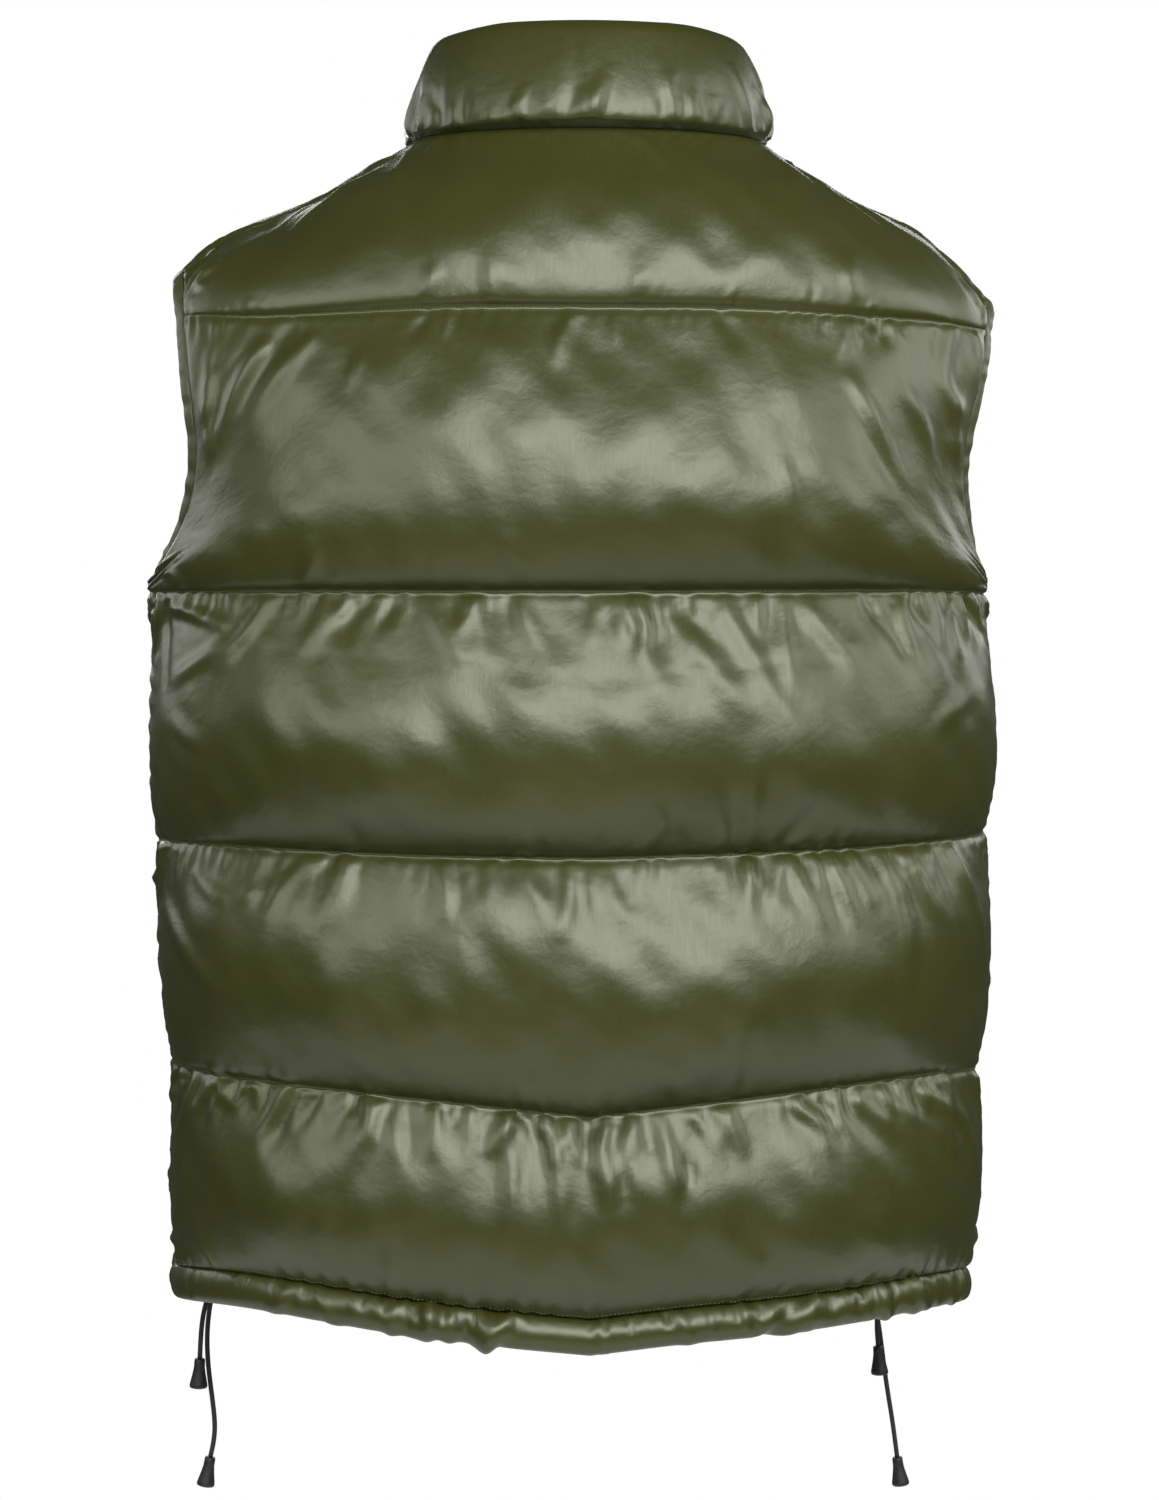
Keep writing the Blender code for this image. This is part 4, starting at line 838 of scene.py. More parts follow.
@dataclass
class Padding:
    """A filled piece of cloth that is to settle."""

    full: Array  # outer side of the filled form, rows by columns by xyz
    normals: Array
    held: Array
    spare_across: Array  # spare cloth, as shares of the form's own lengths
    spare_up: Array
    filling: Array  # share of the push that each point gets
    push: float = 2.0e-6  # how far the filling pushes in a turn where it is fullest
    stiffness: float = 0.003  # resistance to bending

    def settle(self, start: Array, turns: int, hold: float | Array) -> Array:
        """Settle the cloth.

        Args:
            start: How far each point starts from the filled form.
            turns: How many turns.
            hold: Share of the way back to the filled form that a point is brought in a turn.

        Returns:
            How far each point ends from the filled form.
        """
        full = self.full
        wide = np.linalg.norm(np.diff(full, axis=1), axis=-1)
        tall = np.linalg.norm(np.diff(full, axis=0), axis=-1)
        rising = np.linalg.norm(full[1:, 1:] - full[:-1, :-1], axis=-1)
        falling = np.linalg.norm(full[1:, :-1] - full[:-1, 1:], axis=-1)
        lean = (rising**2 - falling**2) / ((wide[:-1] + wide[1:]) * (tall[:, :-1] + tall[:, 1:]))
        lean = lean.clip(-0.9, 0.9)
        wide = wide * (1.0 + 0.5 * (self.spare_across[:, 1:] + self.spare_across[:, :-1]))
        tall = tall * (1.0 + 0.5 * (self.spare_up[1:] + self.spare_up[:-1]))
        way = np.sign(np.sum(self.normals * grid_normals(full)))
        cloth = Settling(full + start * ~self.held[..., None], self.held, wide, tall, lean)
        hold = np.broadcast_to(hold, self.held.shape)
        return cloth.run(full, turns, self.push * way * self.filling, self.stiffness, hold) - full


class Quilt:
    """One quilted panel: its inside grid and the outer grid raised over it."""

    fine_rows = 200  # a grid of more rows than this is fine enough for the folds
    least_wall = 0.0012
    densities = (480.0, 260.0)  # spots for a pucker in a metre below a seam and above it
    splay = 0.55  # how far outward a pucker at the side turns, over its length
    side_folds_each = 7  # crumples at a side edge in each baffle

    def __init__(self, face: Face, look: PanelLook, rows: Rows, out: Array, grid: Array) -> None:
        """Measure the grid.

        Args:
            face: Back or front.
            look: The panel's quilting and folds.
            rows: The grid's rows.
            out: Signed column shares, 0 at the middle and 1 or -1 at a side.
            grid: Inside points, rows by columns by xyz.
        """
        self.face = face
        self.look = look
        self.rows = rows
        self.out = out
        self.grid = grid
        up = travelled(grid, axis=0)
        middle = int(np.argmin(np.abs(out)))
        across = travelled(grid, axis=1)
        self.up = up
        self.across = (across - across[:, middle : middle + 1]) * (1 if out[-1] > out[0] else -1)
        first = rows.seams[rows.band]
        last = rows.seams[rows.band + 1]
        self.below = up - up[first]
        self.above = up[last] - up
        self.share = self.below / (self.below + self.above)
        self.normals = unit(grid_normals(grid)) * (-1.0 if face.facing > 0 else 1.0)
        if out[-1] < 0.0:
            self.normals = -self.normals
        self.folds = np.zeros_like(up)
        if len(up) > self.fine_rows:
            for crease in look.creases:
                self.folds += look.crease_share * crease.raise_over(self.across, self.up)
            for crease in self.drawn_folds():
                self.folds += crease.raise_over(self.across, self.up)

    def loft(self) -> Array:
        """Filling above the flattened wall, which sags in each baffle.

        It is A s^a (1-s)^b over its own highest value, made a little uneven, and with soft lumps.
        """
        look, face = self.look, self.face
        lofts = np.array(face.lofts)[self.rows.band][:, None]
        rise = np.array(look.rises)[self.rows.band][:, None]
        fall = np.array(look.falls)[self.rows.band][:, None]
        profile = bulge(self.share, rise, fall)
        uneven = 1.0 + 0.05 * soft_noise(self.across, self.up, 0.16, 5 + face.facing)
        lumps = noises(self.across, self.up, (0.0008, 0.8, 0.085, look.seed + 5),
                       (0.0004, 0.8, 0.036, look.seed + 6))
        inside = ramp(np.minimum(self.below, self.above), 0.0, 0.030)
        return lofts * profile * self.fade() * uneven + lumps * inside * np.sqrt(self.fade())

    def fade(self) -> Array:
        """How the filling thins out toward the side edge, the zip and the neck.

        Toward the side it is a soft step and then sqrt(1 - out^12); toward the zip it is
        sqrt(1 - (1 - out)^14), and toward the neck a soft step in the distance from the seam.
        """
        out = np.abs(self.out)
        fade = (1.0 - CUT.side_loss * ramp(out, CUT.side_loss_start, 1.0)) * np.sqrt(1.0 - out**12)
        if self.face.facing < 0:
            fade = fade * np.sqrt(1.0 - (1.0 - out) ** 14)
        depth = np.where(self.grid[..., 1] > 0.0, CUT.neck_back, CUT.neck_front)
        ratio = np.hypot(self.grid[..., 0] / CUT.neck_half_width, self.grid[..., 1] / depth)
        return fade * ramp((ratio - 1.0) * CUT.neck_back, 0.0, CUT.neck_fade_width)

    def base(self) -> Array:
        """Outer side of the wall with no filling: thin at the quilting seams, whole elsewhere."""
        thin = CUT.wall - self.look.seam_wall
        seams = self.rows.seams[1:5]
        gap = np.min([np.abs(self.up - self.up[row]) for row in seams], axis=0)
        return self.grid + self.normals * (CUT.wall - thin * np.exp(-((gap / 0.0025) ** 2)))[..., None]

    def full(self) -> Array:
        """Outer side of the filled wall, with the folds that its grid is fine enough for."""
        return self.base() + self.normals * (self.loft() + self.folds)[..., None]

    def drawn_folds(self) -> list[Crease]:
        """Puckers below and above each seam and crumples at the side edges, from a seeded draw."""
        look, seams = self.look, self.rows.seams
        rng = np.random.default_rng(look.seed + 50)
        half = float(np.abs(self.across).max())
        places = np.linspace(-half, half, 5)
        made = []
        for number in range(5):
            for row, way, table, density in (
                (seams[number + 1], -1, look.below[number], self.densities[0]),
                (seams[number], 1, look.above[number], self.densities[1]),
            ):
                line = self.across[row]
                order = np.argsort(line)
                low, high = line.min(), line.max()
                spots = rng.uniform(low, high, int(density * (high - low)))
                heights = np.interp(spots, line[order], self.up[row][order])
                patchy = 0.9 + 0.7 * soft_noise(spots, heights, 0.055, look.seed + 60 + number)
                strength = np.interp(spots, places, table) * patchy.clip(0.05, 2.0)
                made += puckers(rng, spots, heights, strength, way, self.splay * spots / half)
        return made + self.side_folds(rng)

    def side_folds(self, rng: np.random.Generator) -> list[Crease]:
        """Crumples that run in from the side edges, some to each baffle."""
        made = []
        for column, side in ((0, -1), (-1, 1)):
            if abs(self.out[column]) < 0.5:
                continue
            way = np.sign(self.across[-1, column] or side)
            for number in range(5):
                low, high = self.up[self.rows.seams[number : number + 2], column]
                for _ in range(self.side_folds_each):
                    z = rng.uniform(low + 0.008, high - 0.006)
                    edge = float(np.interp(z, self.up[:, column], self.across[:, column]))
                    turn = rng.normal(0.1, 0.7)
                    length, width = rng.uniform(0.012, 0.042), rng.uniform(0.0026, 0.0052)
                    x = edge - way * rng.uniform(0.0, 0.012)
                    end = (x - way * length * math.cos(turn), z + length * math.sin(turn))
                    bend = ((x + end[0]) / 2.0, (z + end[1]) / 2.0 + rng.normal(0.0, 0.15) * length)
                    made.append(Crease((x, z), bend, end, width, width * rng.uniform(0.2, 0.4), 0.4))
        return made

    def spare(self) -> tuple[Array, Array]:
        """Spare cloth across and up, as shares of the length of the filled form.

        Beside a seam it is strength * gather * (near exp(-d/reach) + far exp(-d/4 reach)), d being
        the distance from the seam, and it comes and goes along the seam with soft noise.
        """
        look, band = self.look, self.rows.band
        half = float(np.abs(self.across).max())
        places = np.linspace(-half, half, 5)
        patchy = 0.6 + 0.55 * soft_noise(self.across, self.up * 0.6, 0.030, look.seed + 1)
        patchy += 0.50 * soft_noise(self.across, self.up * 0.4, 0.100, look.seed + 4)
        across = np.full_like(self.up, look.spare_across)
        for number in range(len(look.rows)):
            here = band == number
            across_here = self.across[here]
            low = np.interp(across_here, places, look.above[number])
            high = np.interp(across_here, places, look.below[number])
            below, above = self.below[here], self.above[here]
            gathers = low * np.exp(-below / look.reach_above)
            gathers += high * (1.0 - look.far_share) * np.exp(-above / look.reach_below)
            gathers += high * look.far_share * np.exp(-above / (4.0 * look.reach_below))
            across[here] += look.gather * gathers * patchy[here].clip(0.02, 2.6)
        to_side = half - np.abs(self.across)
        up = look.spare_up + look.side_spare * np.exp(-to_side / 0.030)
        return across, up

    def seeds(self) -> Array:
        """Small unevenness that the gathers grow from."""
        look = self.look
        start = noises(self.across, self.up, (0.0005, 0.3, 0.030, look.seed + 2),
                       (0.0003, 0.5, 0.011, look.seed + 3))
        start += 0.0001 * np.random.default_rng(look.seed).normal(size=self.up.shape)
        return start

    def settle(self, start: Array | None, turns: int, hold: float) -> Array:
        """Settle the panel's cloth over its filling; the yoke keeps its form more firmly.

        Args:
            start: How far each point starts from the filled form, or None for the first try.
            turns: How many turns.
            hold: Share of the way back to the filled form that a point is brought in a turn.

        Returns:
            How far each point ends from the filled form.
        """
        look = self.look
        held = np.zeros(self.up.shape, bool)
        held[self.rows.seams] = True
        held[:, [0, -1]] = True
        seeds = self.normals * self.seeds()[..., None]
        padding = Padding(self.full(), self.normals, held, *self.spare(), self.fade())
        hold = hold * np.where(self.rows.band == YOKE, look.yoke_hold, 1.0)[:, None]
        return padding.settle(seeds if start is None else start + look.reseed * seeds, turns, hold)

    def outer(self) -> Array:
        """Settled outer points, kept clear of the inside."""
        return keep_clear(self.full() + self.moved, self.grid, self.normals, self.least_wall)


def carry(coarse: Quilt, fine: Quilt) -> Array:
    """Read how a coarse panel moved at the points of a finer one, straight between its points."""
    place = coarse.rows.band + coarse.rows.share
    wanted = fine.rows.band + fine.rows.share
    last = np.clip(np.searchsorted(place, wanted, side="right") - 1, 0, len(place) - 2)
    share = ((wanted - place[last]) / (place[last + 1] - place[last]))[:, None, None]
    moved = coarse.moved[last] * (1.0 - share) + coarse.moved[last + 1] * share
    order = np.argsort(coarse.out)
    out = coarse.out[order]
    last = np.clip(np.searchsorted(out, fine.out, side="right") - 1, 0, len(out) - 2)
    share = ((fine.out - out[last]) / (out[last + 1] - out[last]))[None, :, None]
    return moved[:, order[last]] * (1.0 - share) + moved[:, order[last + 1]] * share


# ---- Mesh making ----
def make_mesh(name: str, points: Array, faces: list[Array], smooth: bool = True) -> Object:
    """Object at the origin from whole arrays.

    Args:
        name: The piece's name.
        points: Points, any number by xyz.
        faces: Arrays of point numbers, each with one face to a row.
        smooth: Whether its faces are shaded smooth.

    Returns:
        The object, in the scene.
    """
    faces = [np.asarray(f, np.int32) for f in faces if len(f)]
    sizes = np.concatenate([np.full(len(f), f.shape[1]) for f in faces])
    starts = np.concatenate([[0], np.cumsum(sizes)[:-1]])
    corners = np.concatenate([f.ravel() for f in faces])
    mesh = bpy.data.meshes.new(name)
    mesh.vertices.add(len(points))
    mesh.vertices.foreach_set("co", np.asarray(points, np.float32).ravel())
    mesh.loops.add(len(corners))
    mesh.loops.foreach_set("vertex_index", corners)
    mesh.polygons.add(len(sizes))
    mesh.polygons.foreach_set("loop_start", starts.astype(np.int32))
    mesh.polygons.foreach_set("loop_total", sizes.astype(np.int32))
    mesh.update(calc_edges=True)
    mesh.validate()
    if smooth:
        mesh.shade_smooth()
    obj = bpy.data.objects.new(name, mesh)
    bpy.context.scene.collection.objects.link(obj)
    return obj


def lay_uv(obj: Object, uv: Array) -> None:
    """Give each corner of the mesh its point's place on the cloth, in metres."""
    mesh = obj.data
    corner_points = np.zeros(len(mesh.loops), np.int32)
    mesh.loops.foreach_get("vertex_index", corner_points)
    layer = mesh.uv_layers.new(name="cloth")
    layer.data.foreach_set("uv", uv[corner_points].astype(np.float32).ravel())


def grid_faces(rows: int, columns: int, first: int = 0, around: bool = False,
               closed: bool = False) -> Array:
    """Quads of a grid of points.

    Args:
        rows: Rows of points.
        columns: Columns of points.
        first: Number of the first point.
        around: Whether each row goes round to its own start.
        closed: Whether the last row goes on to the first.

    Returns:
        One quad to a row.
    """
    index = first + np.arange(rows * columns).reshape(rows, columns)
    if closed:
        index = np.concatenate([index, index[:1]])
    if around:
        index = np.concatenate([index, index[:, :1]], axis=1)
    return np.stack([index[:-1, :-1], index[:-1, 1:], index[1:, 1:], index[1:, :-1]], -1).reshape(-1, 4)


def tube_faces(rings: int, sides: int, flip: bool = False) -> list[Array]:
    """Quads of a tube of rings and a flat face at each end, turned the other way if asked."""
    ends = np.stack([np.arange(sides)[::-1], (rings - 1) * sides + np.arange(sides)])
    faces = [grid_faces(rings, sides, around=True), ends]
    return [f[:, ::-1] for f in faces] if flip else faces


def turned_faces(rings: int, sides: int) -> list[Array]:
    """Quads of rings of points and the fans that close them at two poles, whose points come last."""
    near = np.arange(sides)
    after = (near + 1) % sides
    last, top = (rings - 1) * sides, rings * sides
    caps = np.concatenate([
        np.stack([np.full(sides, top), after, near], -1),
        np.stack([np.full(sides, top + 1), last + near, last + after], -1),
    ])
    return [grid_faces(rings, sides, around=True), caps]


def wall_object(name: str, outer: Array, inner: Array, across: Array, up: Array, flip: bool,
                stride: int = 4) -> tuple[Object, Array]:
    """Closed wall between a fine outer grid and the inside at every few rows and columns.

    Args:
        name: The piece's name.
        outer: Fine outer points, rows by columns by xyz.
        inner: Inside points of the same shape.
        across: Place of each point on the cloth, across.
        up: Place of each point on the cloth, up.
        flip: Whether the outer quads turn the other way.
        stride: Rows and columns left out of the inside.

    Returns:
        The object, its rim closed by fans from each inside point, and which faces are the inside.
    """
    rows, columns = outer.shape[:2]
    keep_r = np.unique(np.append(np.arange(0, rows, stride), rows - 1))
    keep_c = np.unique(np.append(np.arange(0, columns, stride), columns - 1))
    inside = inner[np.ix_(keep_r, keep_c)]
    first = rows * columns
    fine = np.arange(first).reshape(rows, columns)
    coarse = first + np.arange(len(keep_r) * len(keep_c)).reshape(len(keep_r), len(keep_c))
    outer_quads = grid_faces(rows, columns)
    inner_quads = grid_faces(len(keep_r), len(keep_c), first)[:, ::-1]
    rim = []
    edges = (
        (fine[0], coarse[0], keep_c, False),
        (fine[-1], coarse[-1], keep_c, True),
        (fine[:, 0], coarse[:, 0], keep_r, True),
        (fine[:, -1], coarse[:, -1], keep_r, False),
    )
    for line, base, keep, turned in edges:
        span = np.searchsorted(keep, np.arange(len(line) - 1), side="right") - 1
        fans = np.stack([line[1:], line[:-1], base[span]], -1)
        bases = np.stack([line[keep[1:]], base[:-1], base[1:]], -1)
        both = np.concatenate([fans, bases])
        rim.append(both[:, ::-1] if turned else both)
    triangles = np.concatenate(rim)
    if flip:
        outer_quads = outer_quads[:, ::-1]
        inner_quads = inner_quads[:, ::-1]
        triangles = triangles[:, ::-1]
    points = np.concatenate([outer.reshape(-1, 3), inside.reshape(-1, 3)])
    obj = make_mesh(name, LIE.of(points), [outer_quads, inner_quads, triangles])
    uv_outer = np.stack([across, up], -1).reshape(-1, 2)
    uv_inner = np.stack([across[np.ix_(keep_r, keep_c)], up[np.ix_(keep_r, keep_c)]], -1).reshape(-1, 2)
    lay_uv(obj, np.concatenate([uv_outer, uv_inner]))
    inside_faces = np.zeros(len(obj.data.polygons), np.int32)
    inside_faces[len(outer_quads) : len(outer_quads) + len(inner_quads)] = 1
    return obj, inside_faces


def line_inside(obj: Object, inside_faces: Array, lining: Material) -> None:
    """Give the inside of a padded piece its lining."""
    obj.data.materials.append(lining)
    obj.data.polygons.foreach_set("material_index", inside_faces)


def copies(name: str, shape: tuple[Array, list[Array]], origins: Array,
           bases: Array) -> Object:
    """One mesh of many copies of a small shape.

    Args:
        name: The piece's name.
        shape: Points and face arrays of the small shape.
        origins: Where each copy stands, one row each.
        bases: Three axes for each copy, as rows of a 3 by 3 matrix.

    Returns:
        The object.
    """
    points, faces = shape
    placed = np.einsum("pk,nkj->npj", points, bases) + origins[:, None]
    shift = (np.arange(len(origins)) * len(points))[:, None, None]
    whole = [(f[None] + shift).reshape(-1, f.shape[1]) for f in faces]
    return make_mesh(name, placed.reshape(-1, 3), whole)


def ball(segments: int, rings: int) -> tuple[Array, list[Array]]:
    """Unit ball as points and faces: rings of points round X between two poles."""
    polar = np.linspace(0.0, math.pi, rings + 1)[1:-1]
    turn = round_angles(segments)
    x = np.repeat(np.cos(polar), segments)
    y = (np.sin(polar)[:, None] * np.cos(turn)).ravel()
    z = (np.sin(polar)[:, None] * np.sin(turn)).ravel()
    points = np.vstack([np.stack([x, y, z], -1), [[1.0, 0.0, 0.0], [-1.0, 0.0, 0.0]]])
    return points, turned_faces(rings - 1, segments)


def dress(obj: Object, material: Material, slot: Slot) -> Object:
    """Give a piece its material and set it on the vest."""
    obj.data.materials.clear()
    obj.data.materials.append(material)
    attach(obj, VEST_BODY)
    return obj


# ---- Finishes ----
class Nodes:
    """Short way of placing and joining shader nodes in one tree."""

    def __init__(self, tree: NodeTree) -> None:
        """Keep the tree."""
        self.tree = tree

    def add(self, kind: str, inputs: dict | None = None, **settings) -> Node:
        """New node with its settings and its inputs."""
        node = self.tree.nodes.new(kind)
        for key, value in settings.items():
            setattr(node, key, value)
        self.fill(node, inputs or {})
        return node

    def fill(self, node: Node, inputs: dict) -> None:
        """Give a node its inputs, which are values or sockets to join."""
        for key, value in inputs.items():
            if isinstance(value, NodeSocket):
                self.tree.links.new(value, node.inputs[key])
            else:
                node.inputs[key].default_value = value

    def maths(self, operation: str, first: NodeSocket,
              second: NodeSocket | float = 0.5) -> NodeSocket:
        """Result of a maths node; a sine leaves out the second value."""
        return self.add("ShaderNodeMath", {0: first, 1: second}, operation=operation).outputs[0]


def new_group(name: str, inputs: dict[str, float], outputs: tuple[tuple[str, str], ...]):
    """Empty shader group.

    Args:
        name: The group's name.
        inputs: Float inputs with their starting values; Place is a vector and comes first.
        outputs: Names and socket types of the outputs.

    Returns:
        The group's tree, its node helper, its input node and its output node.
    """
    tree = bpy.data.node_groups.new(name, "ShaderNodeTree")
    tree.interface.new_socket("Place", in_out="INPUT", socket_type="NodeSocketVector")
    for key, value in inputs.items():
        socket = tree.interface.new_socket(key, in_out="INPUT", socket_type="NodeSocketFloat")
        socket.default_value = value
    for key, kind in outputs:
        tree.interface.new_socket(key, in_out="OUTPUT", socket_type=kind)
    nodes = Nodes(tree)
    return tree, nodes, nodes.add("NodeGroupInput"), nodes.add("NodeGroupOutput")


def weave_group() -> NodeTree:
    """Plain weave: two crossed sine waves give thread height, and noise gives uneven yarns."""
    outputs = (("Height", "NodeSocketFloat"), ("Streak", "NodeSocketFloat"))
    tree, nodes, given, made = new_group("plain_weave", {"Threads": 1600.0, "Crinkle": 1.0}, outputs)
    place = given.outputs["Place"]
    spread = {0: place, "Scale": given.outputs["Threads"]}
    scaled = nodes.add("ShaderNodeVectorMath", spread, operation="SCALE")
    parts = nodes.add("ShaderNodeSeparateXYZ", {0: scaled.outputs[0]})
    warp = nodes.maths("SINE", parts.outputs[0])
    weft = nodes.maths("SINE", parts.outputs[1])
    fine = nodes.maths("MULTIPLY", nodes.maths("MULTIPLY", warp, weft), 0.012)
    grain = nodes.add("ShaderNodeMapping", {"Vector": place, "Scale": (900.0, 60.0, 1.0)})
    streak = nodes.add("ShaderNodeTexNoise", {"Vector": grain.outputs[0], "Scale": 1.0, "Detail": 2.0})
    uneven = {"Vector": place, "Scale": 120.0, "Detail": 3.0, "Distortion": 0.2}
    crinkle = nodes.add("ShaderNodeTexNoise", uneven).outputs[0]
    soft = nodes.maths("MULTIPLY", crinkle, given.outputs["Crinkle"])
    nodes.fill(made, {"Height": nodes.maths("ADD", fine, soft), "Streak": streak.outputs[0]})
    return tree


def mottle_group() -> NodeTree:
    """Soft uneven patches of noise, as a share from 0 to 1."""
    tree, nodes, given, made = new_group("soft_mottle", {"Scale": 9.0}, (("Share", "NodeSocketFloat"),))
    patches = {"Vector": given.outputs["Place"], "Scale": given.outputs["Scale"], "Detail": 4.0}
    wide = nodes.add("ShaderNodeTexNoise", patches).outputs[0]
    eased = nodes.add("ShaderNodeMapRange", {0: wide, 1: 0.3, 2: 0.7}, interpolation_type="SMOOTHSTEP")
    nodes.fill(made, {"Share": eased.outputs[0]})
    return tree


def new_material(name: str) -> tuple[Material, Nodes, Node]:
    """Plain material, the helper for its nodes and its shader."""
    material = bpy.data.materials.new(name)
    material.use_nodes = True
    return material, Nodes(material.node_tree), material.node_tree.nodes["Principled BSDF"]


@dataclass(frozen=True)
class ClothFinish:
    """A woven finish: two tones of one colour, gloss and how strongly its surface shows."""

    name: str
    tones: tuple[tuple[float, float, float], tuple[float, float, float]]
    roughness: tuple[float, float]  # from its glossiest to its dullest yarns
    specular: float = 0.5
    sheen: tuple[float, float, float, float] = (1.0, 1.0, 1.0, 1.0)  # tint of its shine
    threads: float = 9000.0
    crinkle: float = 1.0
    bump: float = 0.00012
    uses_uv: bool = True

    def build(self, weave: NodeTree, mottle: NodeTree) -> Material:
        """Make the material."""
        material, nodes, shader = new_material(self.name)
        spot = nodes.add("ShaderNodeTexCoord").outputs["Object"]
        place = nodes.add("ShaderNodeUVMap", uv_map="cloth").outputs[0] if self.uses_uv else spot
        laid = {"Place": place, "Threads": self.threads, "Crinkle": self.crinkle}
        threads = nodes.add("ShaderNodeGroup", laid, node_tree=weave).outputs
        share = nodes.add("ShaderNodeGroup", {"Place": spot}, node_tree=mottle).outputs["Share"]
        one, other = self.tones
        mixed = {"Factor": share, 6: (*one, 1.0), 7: (*other, 1.0)}
        low, high = self.roughness
        gloss = {0: threads["Streak"], 1: 0.25, 2: 0.75, 3: low, 4: high}
        bump = {"Strength": 1.0, "Distance": self.bump, "Height": threads["Height"]}
        nodes.fill(shader, {
            "Base Color": nodes.add("ShaderNodeMix", mixed, data_type="RGBA").outputs[2],
            "Roughness": nodes.add("ShaderNodeMapRange", gloss).outputs[0],
            "Normal": nodes.add("ShaderNodeBump", bump).outputs[0],
            "Specular IOR Level": self.specular,
            "Specular Tint": self.sheen,
        })
        return material


@dataclass(frozen=True)
class HardFinish:
    """A hard finish: colour, metal or plastic, roughness with soft wear."""

    name: str
    colour: tuple[float, float, float]
    metallic: float
    roughness: tuple[float, float]
    patch_scale: float = 260.0
    wear: float = 0.4  # strength of the wear's relief
    wear_depth: float = 0.00004

    def build(self, mottle: NodeTree) -> Material:
        """Make the material."""
        material, nodes, shader = new_material(self.name)
        spot = nodes.add("ShaderNodeTexCoord").outputs["Object"]
        patches = {"Place": spot, "Scale": self.patch_scale}
        share = nodes.add("ShaderNodeGroup", patches, node_tree=mottle).outputs["Share"]
        low, high = self.roughness
        gloss = {0: share, 1: 0.0, 2: 1.0, 3: low, 4: high}
        bump = {"Strength": self.wear, "Distance": self.wear_depth, "Height": share}
        nodes.fill(shader, {
            "Base Color": (*self.colour, 1.0),
            "Metallic": self.metallic,
            "Roughness": nodes.add("ShaderNodeMapRange", gloss).outputs[0],
            "Normal": nodes.add("ShaderNodeBump", bump).outputs[0],
        })
        return material


SHELL = ClothFinish(
    "shell_nylon", ((0.027, 0.031, 0.004), (0.032, 0.036, 0.006)), (0.34, 0.40),
    specular=0.62, sheen=(0.96, 1.0, 0.86, 1.0), bump=0.00030,
)
LINING = ClothFinish(
    "lining_nylon", ((0.034, 0.039, 0.011), (0.041, 0.046, 0.015)), (0.66, 0.74),
    specular=0.30, bump=0.00020,
)
# The binding's tones are a lighter olive than the shell's: painted light that offsets the shade the
# binding sits in inside the armhole.
BINDING_CLOTH = ClothFinish(
    "binding_stretch", ((0.040, 0.045, 0.015), (0.048, 0.052, 0.019)), (0.42, 0.52),
    threads=7000.0, crinkle=2.0,
)
TAPE = ClothFinish(
    "zip_tape_weave", ((0.030, 0.034, 0.013), (0.036, 0.040, 0.017)), (0.75, 0.90),
    threads=5200.0, crinkle=0.2, bump=0.0004, uses_uv=False,
)
THREAD = ClothFinish(
    "sewing_thread", ((0.085, 0.092, 0.040), (0.105, 0.110, 0.052)), (0.50, 0.62),
    threads=12000.0, crinkle=0.2, uses_uv=False,
)
CORD = ClothFinish(
    "cord_braid", ((0.012, 0.015, 0.020), (0.020, 0.024, 0.030)), (0.70, 0.85),
    threads=4200.0, crinkle=0.3, bump=0.0005,
)
TEETH = HardFinish("zip_teeth_plastic", (0.018, 0.020, 0.015), 0.0, (0.35, 0.48))
METAL = HardFinish("zip_metal_plated", (0.060, 0.060, 0.056), 0.9, (0.30, 0.42))
CORD_END = HardFinish("cord_end_moulded", (0.010, 0.011, 0.012), 0.0, (0.42, 0.58))


class Wardrobe:
    """All finishes, made once."""

    def __init__(self) -> None:
        """Build the shared groups and then every material."""
        weave, mottle = weave_group(), mottle_group()
        cloths = (SHELL, LINING, BINDING_CLOTH, TAPE, THREAD, CORD)
        made = [finish.build(weave, mottle) for finish in cloths]
        self.shell, self.lining, self.binding, self.tape, self.thread, self.cord = made
        made = [finish.build(mottle) for finish in (TEETH, METAL, CORD_END)]
        self.teeth, self.metal, self.cord_end = made


